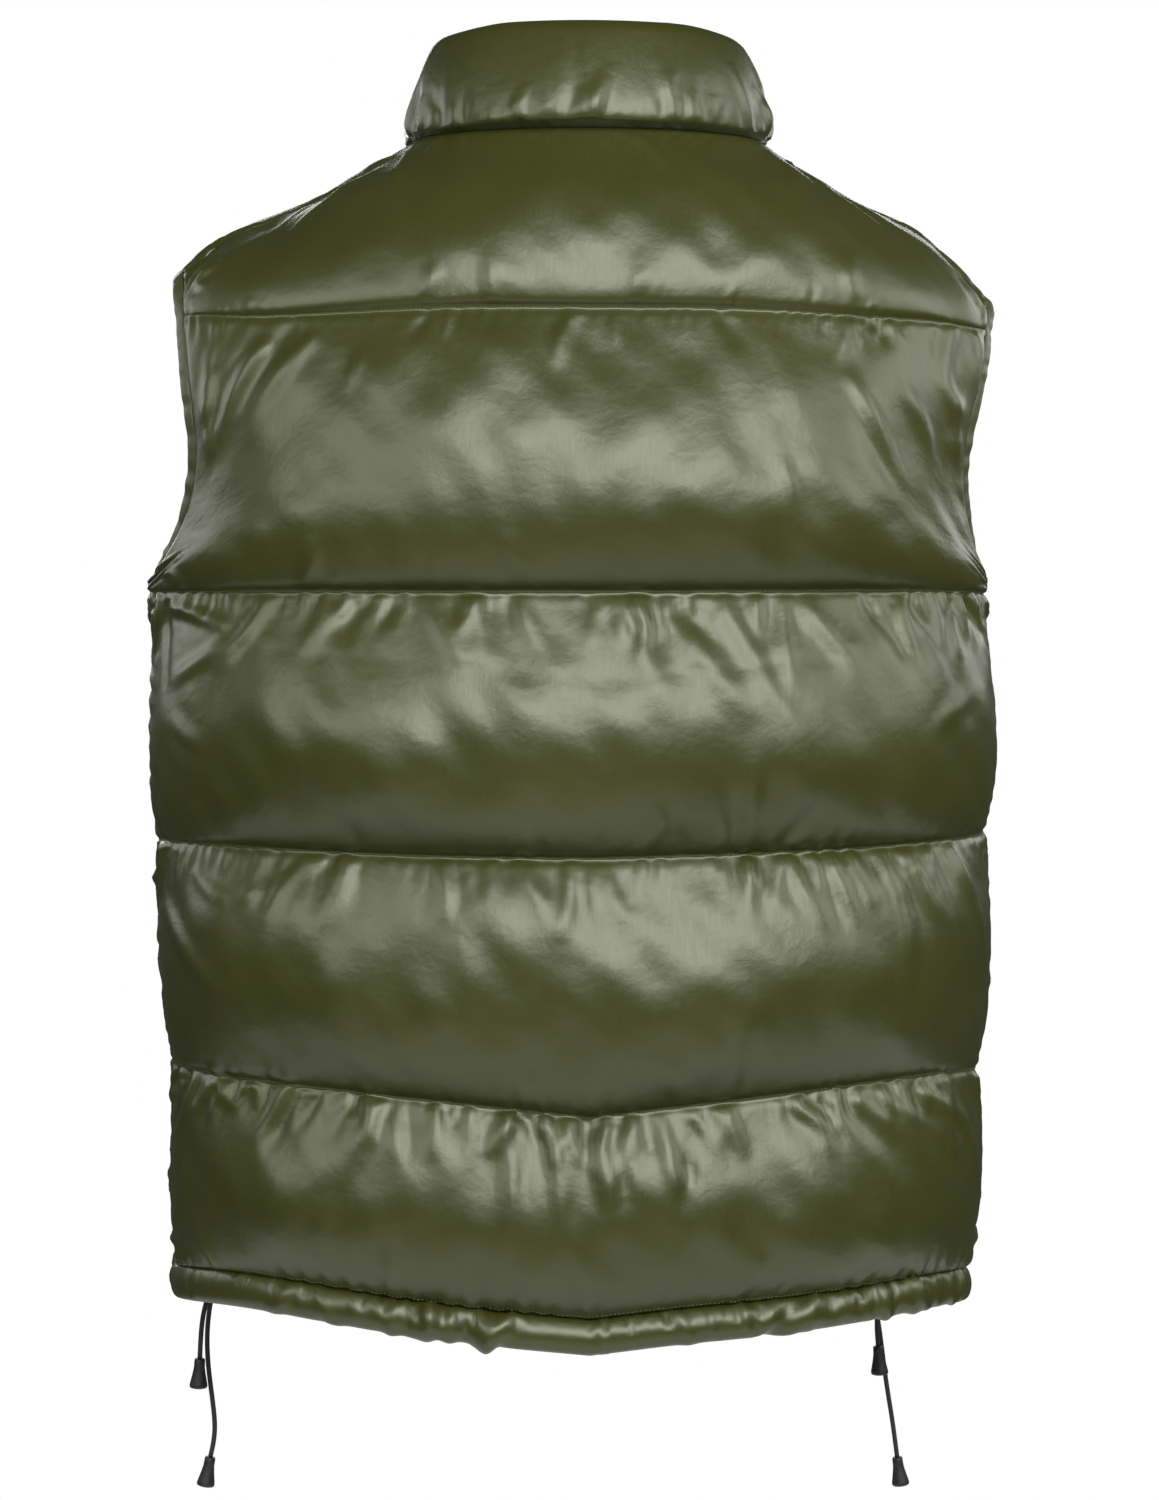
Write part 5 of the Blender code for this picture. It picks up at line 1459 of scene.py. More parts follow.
# ---- Pieces ----
class Shell:
    """Back and fronts: their quilts, built together so that their seams agree."""

    side_start = 0.90  # column share from which a side seam turns the normals
    shoulder_reach = 0.020  # distance over which a shoulder seam does

    def __init__(self, form: InsideForm, coarseness: int = 1) -> None:
        """Work out the three inside grids and share the normals at side and shoulder seams."""
        rows = Rows(tuple(count // coarseness for count in BACK_LOOK.rows))
        out = np.linspace(0.0, 1.0, BACK_LOOK.columns // coarseness + 1)
        left = form.half(BACK, 1, rows, out)
        right = form.half(BACK, -1, rows, out)
        grid = np.concatenate([right[:, :0:-1], left], axis=1)
        self.back = Quilt(BACK, BACK_LOOK, rows, np.concatenate([-out[:0:-1], out]), grid)
        rows = Rows(tuple(count // coarseness for count in FRONT_LOOK.rows))
        out = np.linspace(0.0, 1.0, FRONT_LOOK.columns // coarseness + 1)
        self.left = Quilt(FRONT, FRONT_LOOK, rows, out, form.half(FRONT, 1, rows, out))
        self.right = Quilt(FRONT, FRONT_LOOK, rows, -out, form.half(FRONT, -1, rows, out))
        self.share_normals()

    def share_normals(self) -> None:
        """Turn each panel's normals toward its neighbour's beside the seam that joins them."""
        back = self.back
        for front, column, side in ((self.left, -1, 1), (self.right, 0, -1)):
            stop_back = back.rows.seams[3] + 1
            stop_front = front.rows.seams[3] + 1
            z_back = back.grid[:stop_back, column, 2]
            z_front = front.grid[:stop_front, -1, 2]
            edge_back = back.normals[:stop_back, column]
            edge_front = front.normals[:stop_front, -1]
            to_back = read(z_back, z_front, edge_front)
            to_front = read(z_front, z_back, edge_back)
            near_back = ramp(back.out * side, self.side_start, 1.0)[None, :, None]
            near_front = ramp(np.abs(front.out), self.side_start, 1.0)[None, :, None]
            turn = (unit(edge_back + to_back) - edge_back)[:, None]
            back.normals[:stop_back] = unit(back.normals[:stop_back] + turn * near_back)
            turn = (unit(edge_front + to_front) - edge_front)[:, None]
            front.normals[:stop_front] = unit(front.normals[:stop_front] + turn * near_front)
            self.share_shoulder(front, side)

    def share_shoulder(self, front: Quilt, side: int) -> None:
        """The same for the top rows, over the stretch of the shoulder seam."""
        back = self.back
        half = np.flatnonzero(back.out * side >= 0.0)
        half = half if side > 0 else half[::-1]
        out_back = np.abs(back.out[half])
        out_front = np.abs(front.out)
        top_back = back.normals[-1, half]
        top_front = front.normals[-1]
        to_back = read(out_back, out_front, top_front)
        to_front = read(out_front, out_back, top_back)
        for quilt, columns, own, other, out in (
            (back, half, top_back, to_back, out_back),
            (front, np.arange(len(out_front)), top_front, to_front, out_front),
        ):
            on_seam = ramp(out, CUT.neck_share - 0.03, CUT.neck_share + 0.02)[:, None]
            turn = (unit(own + other) - own) * on_seam
            near = np.exp(-((quilt.above[:, columns] / self.shoulder_reach) ** 2))[..., None]
            near = near * (quilt.rows.band == YOKE)[:, None, None]
            quilt.normals[:, columns] = unit(quilt.normals[:, columns] + turn[None] * near)

    def build(self, wardrobe: Wardrobe) -> None:
        """Make the three padded panels in place of their solids."""
        for name, quilt, flip in (
            ("back_panel", self.back, True),
            ("front_left", self.left, False),
            ("front_right", self.right, True),
        ):
            outer = quilt.outer()
            shell, inside = wall_object(f"shell_{name}", outer, quilt.grid, quilt.across, quilt.up, flip)
            dress(shell, wardrobe.shell, Slot.SHELL)
            line_inside(shell, inside, wardrobe.lining)
            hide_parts(name)
            log.info("%s: %d points", shell.name, len(shell.data.vertices))

    def settle(self, coarser: Shell | None, turns: int, hold: float) -> None:
        """Settle the cloth of all panels, starting from how a coarser shell settled."""
        for name in ("back", "left", "right"):
            quilt = getattr(self, name)
            start = carry(getattr(coarser, name), quilt) if coarser else None
            quilt.moved = quilt.settle(start, turns, hold)

    def neck_line(self) -> tuple[Array, Array, Array]:
        """Neck seam from right front round the back to left front: points, normals, ways off it."""
        neck = round(CUT.neck_share * BACK_LOOK.columns)
        front = round(CUT.neck_share * FRONT_LOOK.columns)
        middle = BACK_LOOK.columns
        behind = slice(middle - neck, middle + neck + 1)
        parts = []
        for right, back, left in (
            (self.right.grid[-1], self.back.grid[-1], self.left.grid[-1]),
            (self.right.normals[-1], self.back.normals[-1], self.left.normals[-1]),
        ):
            parts.append(np.concatenate([right[:front], back[behind], left[front - 1 :: -1]]))
        line, normals = parts
        away = unit(np.cross(normals, np.gradient(line, axis=0)))
        away = away * np.sign(-np.sum(away[:, :2] * line[:, :2], axis=1))[:, None]
        away[[0, -1], 0] = 0.0
        return line, normals, away

    def armhole_line(self, side: int) -> tuple[Array, Array, Array]:
        """Armhole edge, underarm over the back, top and front: points, normals, ways off the cloth."""
        back, front = self.back, self.left if side > 0 else self.right
        column, inward = (-1, -2) if side > 0 else (0, 1)
        up = slice(back.rows.seams[3], None)
        down = slice(-2, front.rows.seams[3], -1)
        points = np.concatenate([back.grid[up, column], front.grid[down, -1]])
        normals = np.concatenate([back.normals[up, column], front.normals[down, -1]])
        inside = np.concatenate([back.grid[up, inward], front.grid[down, -2]])
        return points, normals, points - inside


@dataclass(frozen=True)
class Collar:
    """Stand collar: one padded piece round the neck, fullest low down, rolled over at the top."""

    height_back: float = 0.068
    height_front: float = 0.072
    lean: float = 0.015
    loft: float = 0.0120
    rows: int = 56
    gap: float = 0.0004
    side_drop: float = 0.003  # how much lower the top edge is beside the neck than behind it
    side_loss: float = 0.38  # share of the filling that is missing there
    roll: float = 0.13  # share of the height over which the outside rolls over to the top edge
    rises: tuple[float, float] = (0.22, 0.23)  # power of the bulge's rise, and more of it beside the neck
    fall: float = 0.80  # power of its fall to the top edge
    seam_loss: float = 0.0012  # how much thinner the wall is on the neck seam
    unevenness: float = 0.06
    pucker_density: float = 560.0  # spots for a pucker in a metre of the neck seam
    turns: int = 260
    hold: float = 0.020
    least_wall: float = 0.0007

    def grid(self, shell: Shell, blend: float = 0.006) -> tuple[Array, Array, Array]:
        """Inside grid, its normals and the share of the way up of each row.

        Args:
            shell: The panels that it stands on.
            blend: Height over which the normals turn from the panels' to the collar's own.

        Returns:
            Points, normals and shares.
        """
        base, base_normals, away = shell.neck_line()
        behind = base[:, 1] > 0.0
        height = np.where(behind, self.height_back, self.height_front)
        top = base.copy()
        narrowed = ramp(np.abs(base[:, 0]), CUT.opening_half, 0.030)
        narrowed = np.where(behind, 1.0, narrowed)
        top[:, 0] *= 1.0 - self.lean / CUT.neck_half_width * narrowed
        top[:, 1] *= 1.0 - self.lean / CUT.neck_front
        beside = ramp(np.abs(base[:, 0]), 0.058, 0.104)
        lower = (self.side_drop + height - self.height_back) * beside
        top[:, 2] = base[:, 2] + height - lower
        s = np.linspace(0.0, 1.0, self.rows + 1)
        t = 1.0 - (1.0 - s) ** 1.35
        grid = base * (1.0 - t)[:, None, None] + top * t[:, None, None]
        grid[0] += away * self.gap
        normals = -unit(grid_normals(grid))
        near = np.exp(-((t * self.height_back / blend) ** 2))[:, None, None]
        normals = unit(normals * (1.0 - near) + base_normals * near)
        return grid, normals, t

    def thickness(self, t: Array, normals: Array, across: Array, up: Array, ends: Array) -> Array:
        """Filled thickness: the wall and a bulge that is fullest low down.

        Its last stretch falls away on a quarter circle to the top edge, and puckers run up from the
        neck seam.

        Args:
            t: Share of the way up of each row.
            normals: Normals of the inside grid.
            across: Place of each point on the cloth, across.
            up: Place of each point on the cloth, up.
            ends: How the filling thins out toward the zip.

        Returns:
            Thickness at each point of the grid.
        """
        aside = ramp(np.abs(normals[self.rows // 3, :, 0]), 0.35, 1.0)
        swell = self.loft * bulge(t[:, None], self.rises[0] + self.rises[1] * aside, self.fall)
        swell = swell * (1.0 - self.side_loss * aside)
        uneven = 1.0 + self.unevenness * soft_noise(across, up, 0.09, 301)
        thick = CUT.wall - self.seam_loss * (t == 0.0)[:, None] + swell * ends * uneven
        over = np.clip((t - (1.0 - self.roll)) / self.roll, 0.0, 1.0)
        thick = thick * np.sqrt(1.0 - over**2 * 0.97)[:, None]
        rng = np.random.default_rng(305)
        half = float(np.abs(across).max())
        spots = rng.uniform(-half, half, int(self.pucker_density * 2.0 * half))
        strength = (1.1 + 0.6 * soft_noise(spots, spots * 0.0, 0.05, 306)).clip(0.1, 1.8)
        for crease in puckers(rng, spots, np.zeros_like(spots), strength, 1, spots * 0.0):
            thick += crease.raise_over(across, up)
        return thick

    def build(self, shell: Shell, wardrobe: Wardrobe) -> None:
        """Make the collar in place of its solid, with spare cloth that gathers at the neck seam."""
        grid, normals, t = self.grid(shell, 0.0015)
        around = travelled(grid[0])
        half = around[-1] / 2.0
        across = np.tile(around - half, (len(t), 1))
        up = travelled(grid, axis=0)
        ends = np.sqrt(1.0 - np.clip(np.abs(across) / half, 0.0, 1.0) ** 30)
        full = grid + normals * self.thickness(t, normals, across, up, ends)[..., None]
        held = np.zeros(across.shape, bool)
        held[[0, -2, -1]] = True
        held[:, [0, -1]] = True
        patchy = (0.8 + 0.5 * soft_noise(across, up * 0.5, 0.035, 302)).clip(0.1, 2.2)
        near = 0.03 * np.exp(-up / 0.010) + 0.005 * np.exp(-up / 0.030)
        spare = 0.003 + near * patchy
        seeds = noises(across, up, (0.0006, 0.3, 0.024, 303), (0.0003, 0.5, 0.009, 304))
        padding = Padding(full, normals, held, spare, np.full_like(spare, 0.002), ends)
        moved = padding.settle(normals * seeds[..., None], self.turns, self.hold)
        outer = keep_clear(full + moved, grid, normals, self.least_wall)
        collar, inside = wall_object("shell_collar", outer, grid, across, up, True, 3)
        dress(collar, wardrobe.shell, Slot.SHELL)
        line_inside(collar, inside, wardrobe.lining)
        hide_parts("collar")
        log.info("collar: %d points", len(collar.data.vertices))


@dataclass(frozen=True)
class Binding:
    """Binding folded round an armhole's edge: a thin U-shaped strip carried along the edge.

    The U is an arc of a flattened ellipse, turn from -150 to 150 degrees about the way off the cloth,
    with a second layer inside it. Its width and thickness waver where the stitching gathers it.
    """

    width: float = 0.0085
    thickness: float = 0.0034
    cloth: float = 0.0005
    gap: float = 0.0004
    count: int = 420  # places along the edge
    sides: int = 19  # points of one layer of the U
    arc: float = 150.0
    flatness: float = 0.7  # power that the ellipse's two coordinates are raised to

    def edge(self, shell: Shell, side: int) -> tuple[Array, Array, Array, Array, Array]:
        """The armhole's edge, read at even places.

        Args:
            shell: The panels that the binding holds.
            side: +1 for the wearer's left armhole, -1 for the right.

        Returns:
            Distances along the edge's own points, the places, and at each place its point, the way
            off the cloth and the way up from it.
        """
        points, normals, off_cloth = shell.armhole_line(side)
        way = travelled(np.vstack([points, points[:1]]))
        places = np.linspace(0.0, way[-1], self.count, endpoint=False)
        line, lifts, off = (
            read(places, way, np.vstack([rows, rows[:1]])) for rows in (points, normals, off_cloth)
        )
        lifts = unit(lifts)
        forward = unit(np.roll(line, -2, axis=0) - np.roll(line, 2, axis=0))
        away = unit(np.cross(forward, lifts))
        away = away * np.sign(np.sum(away * off, axis=1).sum())
        for _ in range(6):
            away = unit(away + (np.roll(away, 1, axis=0) + np.roll(away, -1, axis=0)) / 2.0)
        lift = unit(np.cross(forward, away))
        lift = lift * np.sign(np.sum(lift * lifts, axis=1, keepdims=True))
        return way, places, line, away, lift

    def build(self, shell: Shell, side: int, wardrobe: Wardrobe) -> None:
        """Make the binding of one armhole in place of its solid."""
        way, places, line, away, lift = self.edge(shell, side)
        ring = places / way[-1] * 2.0 * math.pi
        radius = way[-1] / (2.0 * math.pi)
        x, y = radius * np.cos(ring), radius * np.sin(ring)
        gather = soft_noise(x, y, 0.012, 400 + side)
        coarse = soft_noise(x, y, 0.045, 410 + side)
        centre = line + lift * CUT.wall / 2.0 + away * (self.gap + self.width / 2.0)
        turn = np.radians(np.linspace(-self.arc, self.arc, self.sides))
        flat_x = np.sign(np.cos(turn)) * np.abs(np.cos(turn)) ** self.flatness
        flat_y = np.sign(np.sin(turn)) * np.abs(np.sin(turn)) ** self.flatness
        layers = []
        for inset in (0.0, self.cloth):
            wide = np.outer(1.0 + 0.05 * coarse, flat_x * (self.width / 2.0 - inset))
            tall = flat_y * (self.thickness / 2.0 - inset)
            tall = np.outer(1.0 + 0.16 * gather + 0.08 * coarse, tall)
            layers.append(
                centre[:, None] + away[:, None] * wide[..., None] + lift[:, None] * tall[..., None]
            )
        section = np.concatenate([layers[0], layers[1][:, ::-1]], axis=1)
        quads = grid_faces(*section.shape[:2], around=True, closed=True)
        flow = np.cross(section[0, 9] - section[0, 8], section[1, 9] - section[0, 9])
        if flow @ away[0] < 0.0:
            quads = quads[:, ::-1]
        name = "left" if side > 0 else "right"
        band = make_mesh(f"binding_armhole_{name}", LIE.of(section.reshape(-1, 3)), [quads])
        tape = travelled(section[0])
        uv = np.stack(np.broadcast_arrays(places[:, None], tape[None, :]), -1).reshape(-1, 2)
        lay_uv(band, uv)
        dress(band, wardrobe.binding, Slot.BINDING)
        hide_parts(f"armhole_band_{name}")
        tape_width = float(travelled(layers[0][0])[-1])
        log.info("armhole binding %s: %.3f m of %.4f m tape", name, way[-1], tape_width)


@dataclass(frozen=True)
class Casing:
    """Padded drawcord casing under the hem: a section carried along a panel's hem edge."""

    outline: tuple[tuple[float, float], ...] = (  # outward and down, as shares of depth and height
        (0.00, 0.00), (0.33, 0.00), (0.78, 0.22), (1.00, 0.55),
        (0.80, 0.88), (0.40, 1.00), (0.05, 0.94), (0.00, 0.80),
    )
    sides: int = 26
    step: float = 0.0016  # distance from one section to the next
    girth: float = 0.055  # distance once round a section
    pucker_density: float = 330.0  # spots for a pucker in a metre of the hem
    turns: int = 300
    hold: float = 0.004

    def build(self, name: str, quilt: Quilt, seed: int, wardrobe: Wardrobe) -> None:
        """Make one length of the casing.

        The section is a smooth closed curve through the outline. Its outer half is pushed in and out
        by gathers that stand across the hem, strongest under the stitching.
        """
        edge = quilt.grid[0]
        outward = unit(quilt.normals[0] * np.array([1.0, 1.0, 0.0]))
        way = travelled(edge)
        count = max(60, int(way[-1] / self.step))
        places = np.linspace(0.0, way[-1], count)
        edge = read(places, way, edge)
        outward = unit(read(places, way, outward))
        aside = ramp(np.abs(outward[:, 0]), 0.15, 0.95)
        depth = CUT.casing_depth + (CUT.casing_side_depth - CUT.casing_depth) * aside
        outline = np.array(self.outline + self.outline[:1])
        knots = travelled(outline)
        rounded = spline(knots, outline, np.linspace(0.0, knots[-1], self.sides, endpoint=False))
        rounded = rounded.clip(0.0, 1.05)
        p, v = np.meshgrid(places, np.arange(self.sides) / self.sides, indexing="ij")
        reach = depth[:, None] * rounded[None, :, 0]
        section = edge[:, None] + outward[:, None] * reach[..., None]
        section[..., 2] -= rounded[None, :, 1] * CUT.casing_height
        normals = unit(section - section.mean(axis=1, keepdims=True))
        rng = np.random.default_rng(seed + 3)
        spots = rng.uniform(0.0, way[-1], int(self.pucker_density * way[-1]))
        strength = (1.1 + 0.8 * soft_noise(spots, spots * 0.0, 0.06, seed + 4)).clip(0.0, 2.2)
        folds = np.zeros_like(p)
        for crease in puckers(rng, spots, spots * 0.0 + 0.004, strength, 1, 0.5 * np.sin(spots * 40.0)):
            folds += crease.raise_over(p, v * self.girth)
        folds *= np.sin(math.pi * v.clip(0.0, 0.7) / 0.7) ** 0.5
        section = section + normals * folds[..., None]
        held = np.zeros(p.shape, bool)
        held[:, [0, 1, -5, -4, -3, -2, -1]] = True
        held[[0, -1]] = True
        patchy = (0.7 + 0.8 * soft_noise(p, v * 0.02, 0.050, seed)).clip(0.0, 2.4)
        spare = 0.004 + 0.06 * patchy * np.exp(-v / 0.4)
        seeds = noises(p, v, (0.0009, 0.05, 0.026, seed + 1), (0.0005, 0.05, 0.011, seed + 2))
        padding = Padding(section, normals, held, np.full_like(p, 0.02), spare, np.ones_like(p))
        section = section + padding.settle(normals * seeds[..., None], self.turns, self.hold)
        here, after = section[count // 2 : count // 2 + 2]
        flow = np.cross(here[9] - here[8], after[9] - here[9])
        faces = tube_faces(count, self.sides, flip=flow @ outward[count // 2] < 0.0)
        casing = make_mesh(f"shell_{name}", LIE.of(section.reshape(-1, 3)), faces)
        lay_uv(casing, np.stack([p, v * 0.05], -1).reshape(-1, 2))
        dress(casing, wardrobe.shell, Slot.SHELL)
        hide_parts(name)


@dataclass(frozen=True)
class Sewing:
    """Lines of stitches: each stitch is a short rounded bead of thread lying along its line."""

    pitch: float = 0.0025
    length: float = 0.0019
    thickness: float = 0.00042
    seam_lift: float = 0.0002  # how far the thread's middle stands above the cloth at a seam
    hem_lift: float = 0.0001
    hem_row: int = 2

    def build(self, name: str, lines: list[tuple[Array, Array]], wardrobe: Wardrobe) -> None:
        """Sew the lines.

        Args:
            name: The piece's name.
            lines: Points and normals of each line on the cloth's outer side, before it lies.
            wardrobe: The finishes.
        """
        origins, bases = [], []
        for points, normals in lines:
            way = travelled(points)
            count = int(way[-1] / self.pitch)
            middles = (np.arange(count) + 0.5) / count
            line = along(points, middles)
            lift = unit(along(np.asarray(normals), middles))
            tangent = unit(np.gradient(line, axis=0))
            side = unit(np.cross(lift, tangent))
            lift = np.cross(tangent, side)
            origins.append(line)
            half = self.thickness / 2.0
            bases.append(np.stack([tangent * self.length / 2.0, side * half, lift * half], axis=1))
        stitches = copies(name, ball(6, 4), LIE.of(np.concatenate(origins)), np.concatenate(bases))
        dress(stitches, wardrobe.thread, Slot.SHELL)
        log.info("%s: %d stitches", name, len(stitches.data.vertices) // 20)


def sew(shell: Shell, wardrobe: Wardrobe) -> None:
    """Stitch the quilting seams and the hem of each panel."""
    sewing = Sewing()
    for name, quilt in (("back", shell.back), ("front_left", shell.left), ("front_right", shell.right)):
        outer = quilt.outer()
        lines = []
        places = [(row, sewing.seam_lift) for row in quilt.rows.seams[1:5]]
        for row, lift in (*places, (sewing.hem_row, sewing.hem_lift)):
            lines.append((outer[row] + quilt.normals[row] * lift, quilt.normals[row]))
        sewing.build(f"stitches_{name}", lines, wardrobe)


# ---- Zip ----
class Zip:
    """Front zip: the chain of teeth between its tapes."""

    box_height = 0.0075
    chain_end = 0.0100  # how far below the top edge the chain stops
    pitch = 0.0026
    tooth = (0.0020, 0.00145, 0.00062)  # half sizes across, outward and up the chain
    tooth_aside = 0.0010
    clearance = 0.001  # from the box and the chain's end to the nearest teeth

    def __init__(self, shell: Shell, collar: Collar) -> None:
        """Line down the middle of the fronts' wall, from the casing's foot to the collar's top."""
        grid, normals, _ = collar.grid(shell)
        wall = np.concatenate([shell.left.grid[:, 0], grid[1:, -1]])
        normals = np.concatenate([shell.left.normals[:, 0], normals[1:, -1]])
        foot = wall[0] - np.array([0.0, 0.0, CUT.casing_height * 0.95])
        wall = np.vstack([foot, wall])
        normals = np.vstack([normals[0], normals])
        normals[:, 0] = 0.0
        line = wall + unit(normals) * CUT.wall / 2.0
        line[:, 0] = 0.0
        self.line = line

    def build(self, wardrobe: Wardrobe) -> None:
        """Make the teeth, each a rounded block that reaches past the middle from its own tape."""
        way = travelled(self.line)
        start = self.box_height + self.clearance
        stop = way[-1] - self.chain_end - self.clearance
        count = int((stop - start) / self.pitch)
        places = start + (np.arange(count) + 0.5) * self.pitch
        points = along(self.line, places / way[-1])
        up = unit(np.gradient(points, axis=0))
        across = np.tile([1.0, 0.0, 0.0], (count, 1))
        outward = np.cross(up, -across)
        origins, bases = [], []
        for side, shift in ((1.0, 0.0), (-1.0, 0.5)):
            origins.append(points + across * side * self.tooth_aside + up * self.pitch * shift)
            bases.append(np.stack([across, outward, up], axis=1) * np.array(self.tooth)[:, None])
        block = bevelled_block()
        teeth = copies("zip_teeth", block, LIE.of(np.concatenate(origins)), np.concatenate(bases))
        dress(teeth, wardrobe.teeth, Slot.TEETH)
        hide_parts("zip_chain")
        log.info("zip: %d teeth", 2 * count)


def bevelled_block() -> tuple[Array, list[Array]]:
    """Block of half-size 1 with its four long edges cut off: an octagon carried along X."""
    turn = (np.arange(8) + 0.5) * math.pi / 4.0
    y = np.cos(turn) / math.cos(math.pi / 8.0)
    z = np.sin(turn) / math.cos(math.pi / 8.0)
    xs = np.array([-1.0, -0.8, 0.8, 1.0])
    inset = np.array([0.75, 1.0, 1.0, 0.75])
    points = np.stack(
        [np.repeat(xs, 8), (inset[:, None] * y).ravel(), (inset[:, None] * z).ravel()], axis=-1
    )
    return points, tube_faces(4, 8, flip=True)


# ---- Drawcords ----
@dataclass(frozen=True)
class Drawcord:
    """One free end of a drawcord: where it leaves the hem and how it hangs."""

    name: str
    exit_x: float
    beside: float  # how far from the eyelet's middle it leaves, along the hem
    splay: float  # how far toward the back it hangs
    route: tuple[tuple[float, float], ...]  # places it passes: out from where it hangs, and height
    foot: tuple[float, float]  # foot of its moulded end, measured the same way
    diameter: float = 0.0030
    end_length: float = 0.0180
    eyelet_drop: float = 0.48  # how far below the casing's top it leaves, as a share of its height
    inward: tuple[float, float, float] = (0.0008, 0.0040, 0.0090)  # where it starts, bends and hangs
    bend_drop: float = 0.0050
    step: float = 0.0012  # usual distance between its points
    sides: int = 14
    end_sides: int = 32
    end_profile: tuple[tuple[float, float], ...] = (  # radius, and height as a share of its length
        (0.0024, 1.0), (0.0030, 0.985), (0.0033, 0.95), (0.00335, 0.80), (0.0034, 0.70),
        (0.0039, 0.52), (0.0045, 0.36), (0.0052, 0.18), (0.0055, 0.10), (0.0055, 0.045),
        (0.0052, 0.012), (0.0046, 0.0), (0.0030, 0.0), (0.0024, 0.03),
    )

    def points(self, shell: Shell) -> tuple[Array, Array]:
        """Points of the cord from the casing down to its end, and the foot of that end."""
        quilt = shell.left if self.exit_x > 0 else shell.right
        edge, normals = quilt.grid[0], quilt.normals[0] * np.array([1.0, 1.0, 0.0])
        order = np.argsort(np.abs(edge[:, 0]))
        reach = np.abs(edge[order, 0])
        leave = read(abs(self.exit_x), reach, edge[order])
        outward = unit(read(abs(self.exit_x), reach, normals[order]))
        along_hem = np.cross(np.array([0.0, 0.0, 1.0]), outward)
        along_hem = along_hem * (-1.0 if along_hem[1] > 0.0 else 1.0)
        leave[2] -= CUT.casing_height * self.eyelet_drop
        leave = leave + along_hem * self.beside
        start, bend, hang = (leave - outward * inward for inward in self.inward)
        knots = [start, bend, hang - np.array([0.0, 0.0, self.bend_drop])]
        out = math.copysign(1.0, self.exit_x)
        for x, z in (*self.route, self.foot):
            knots.append(np.array([hang[0] + out * x, hang[1] + self.splay, z]))
        foot = knots.pop()
        fall = unit(foot - knots[-1])
        knots.append(foot - fall * (self.end_length + 0.0003))
        line = np.array(knots)
        way = travelled(line)
        count = max(40, int(way[-1] / self.step))
        return spline(way, line, np.linspace(0.0, way[-1], count)), foot

    def build(self, shell: Shell, wardrobe: Wardrobe) -> None:
        """Make the cord as a round tube, and dress the moulded end that it runs into."""
        line, foot = self.points(shell)
        tangent = unit(np.gradient(line, axis=0))
        side = unit(np.cross(tangent, np.array([0.0, 1.0, 0.0])))
        other = np.cross(tangent, side)
        turn = round_angles(self.sides)
        radius = self.diameter / 2.0
        rings = line[:, None] + radius * (
            side[:, None] * np.cos(turn)[None, :, None] + other[:, None] * np.sin(turn)[None, :, None]
        )
        way = travelled(line)
        faces = tube_faces(len(line), self.sides)
        cord = make_mesh(f"drawcord_{self.name}", rings.reshape(-1, 3), faces)
        uv = np.stack(np.broadcast_arrays(turn[None] * radius, way[:, None]), -1).reshape(-1, 2)
        lay_uv(cord, uv)
        dress(cord, wardrobe.cord, Slot.CORD)
        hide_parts(f"cord_{self.name}")
        end = self.moulded_end(line[-1], foot, wardrobe)
        tuple(line[0])
        [tuple(p) for p in line]
        log.info("cord %s: %.4f m to its end", self.name, way[-1])

    def moulded_end(self, top: Array, foot: Array, wardrobe: Wardrobe) -> Object:
        """Bell-shaped end: a profile of radius against height, turned about the cord's line."""
        length = self.end_length
        inner = np.array(self.end_profile)
        axis = unit(top - foot)
        side = unit(np.cross(axis, np.array([0.0, 1.0, 0.0])))
        other = np.cross(axis, side)
        turn = round_angles(self.end_sides)
        spokes = side[None] * np.cos(turn)[:, None] + other[None] * np.sin(turn)[:, None]
        rings = foot + axis * (inner[:, 1] * length)[:, None, None] + spokes[None] * inner[:, :1, None]
        poles = np.stack([foot + axis * length, foot + axis * length * inner[-1, 1]])
        points = np.vstack([rings.reshape(-1, 3), poles])
        end = make_mesh(f"cord_tip_{self.name}", points, turned_faces(len(inner), self.end_sides))
        dress(end, wardrobe.cord_end, Slot.CORD_END)
        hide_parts(f"cord_end_{self.name}")
        return end


CORDS = (
    Drawcord(
        "left_long", 0.2310, 0.00165, -0.0020,
        ((0.0000, -0.6740), (0.0018, -0.6925), (0.0010, -0.7130), (-0.0020, -0.7380), (-0.0026, -0.7540)),
        (0.0030, -0.7857),
    ),
    Drawcord(
        "left_short", 0.2310, -0.00165, 0.0050,
        ((0.0020, -0.6740), (0.0042, -0.6900)),
        (0.0058, -0.7223),
    ),
    Drawcord(
        "right_long", -0.2065, 0.00165, -0.0020,
        ((0.0025, -0.6980), (0.0060, -0.7231), (0.0090, -0.7450), (0.0115, -0.7605)),
        (0.0175, -0.8048),
    ),
    Drawcord(
        "right_short", -0.2065, -0.00165, 0.0050,
        ((-0.0015, -0.6850), (-0.0018, -0.7000)),
        (0.0000, -0.7313),
    ),
)


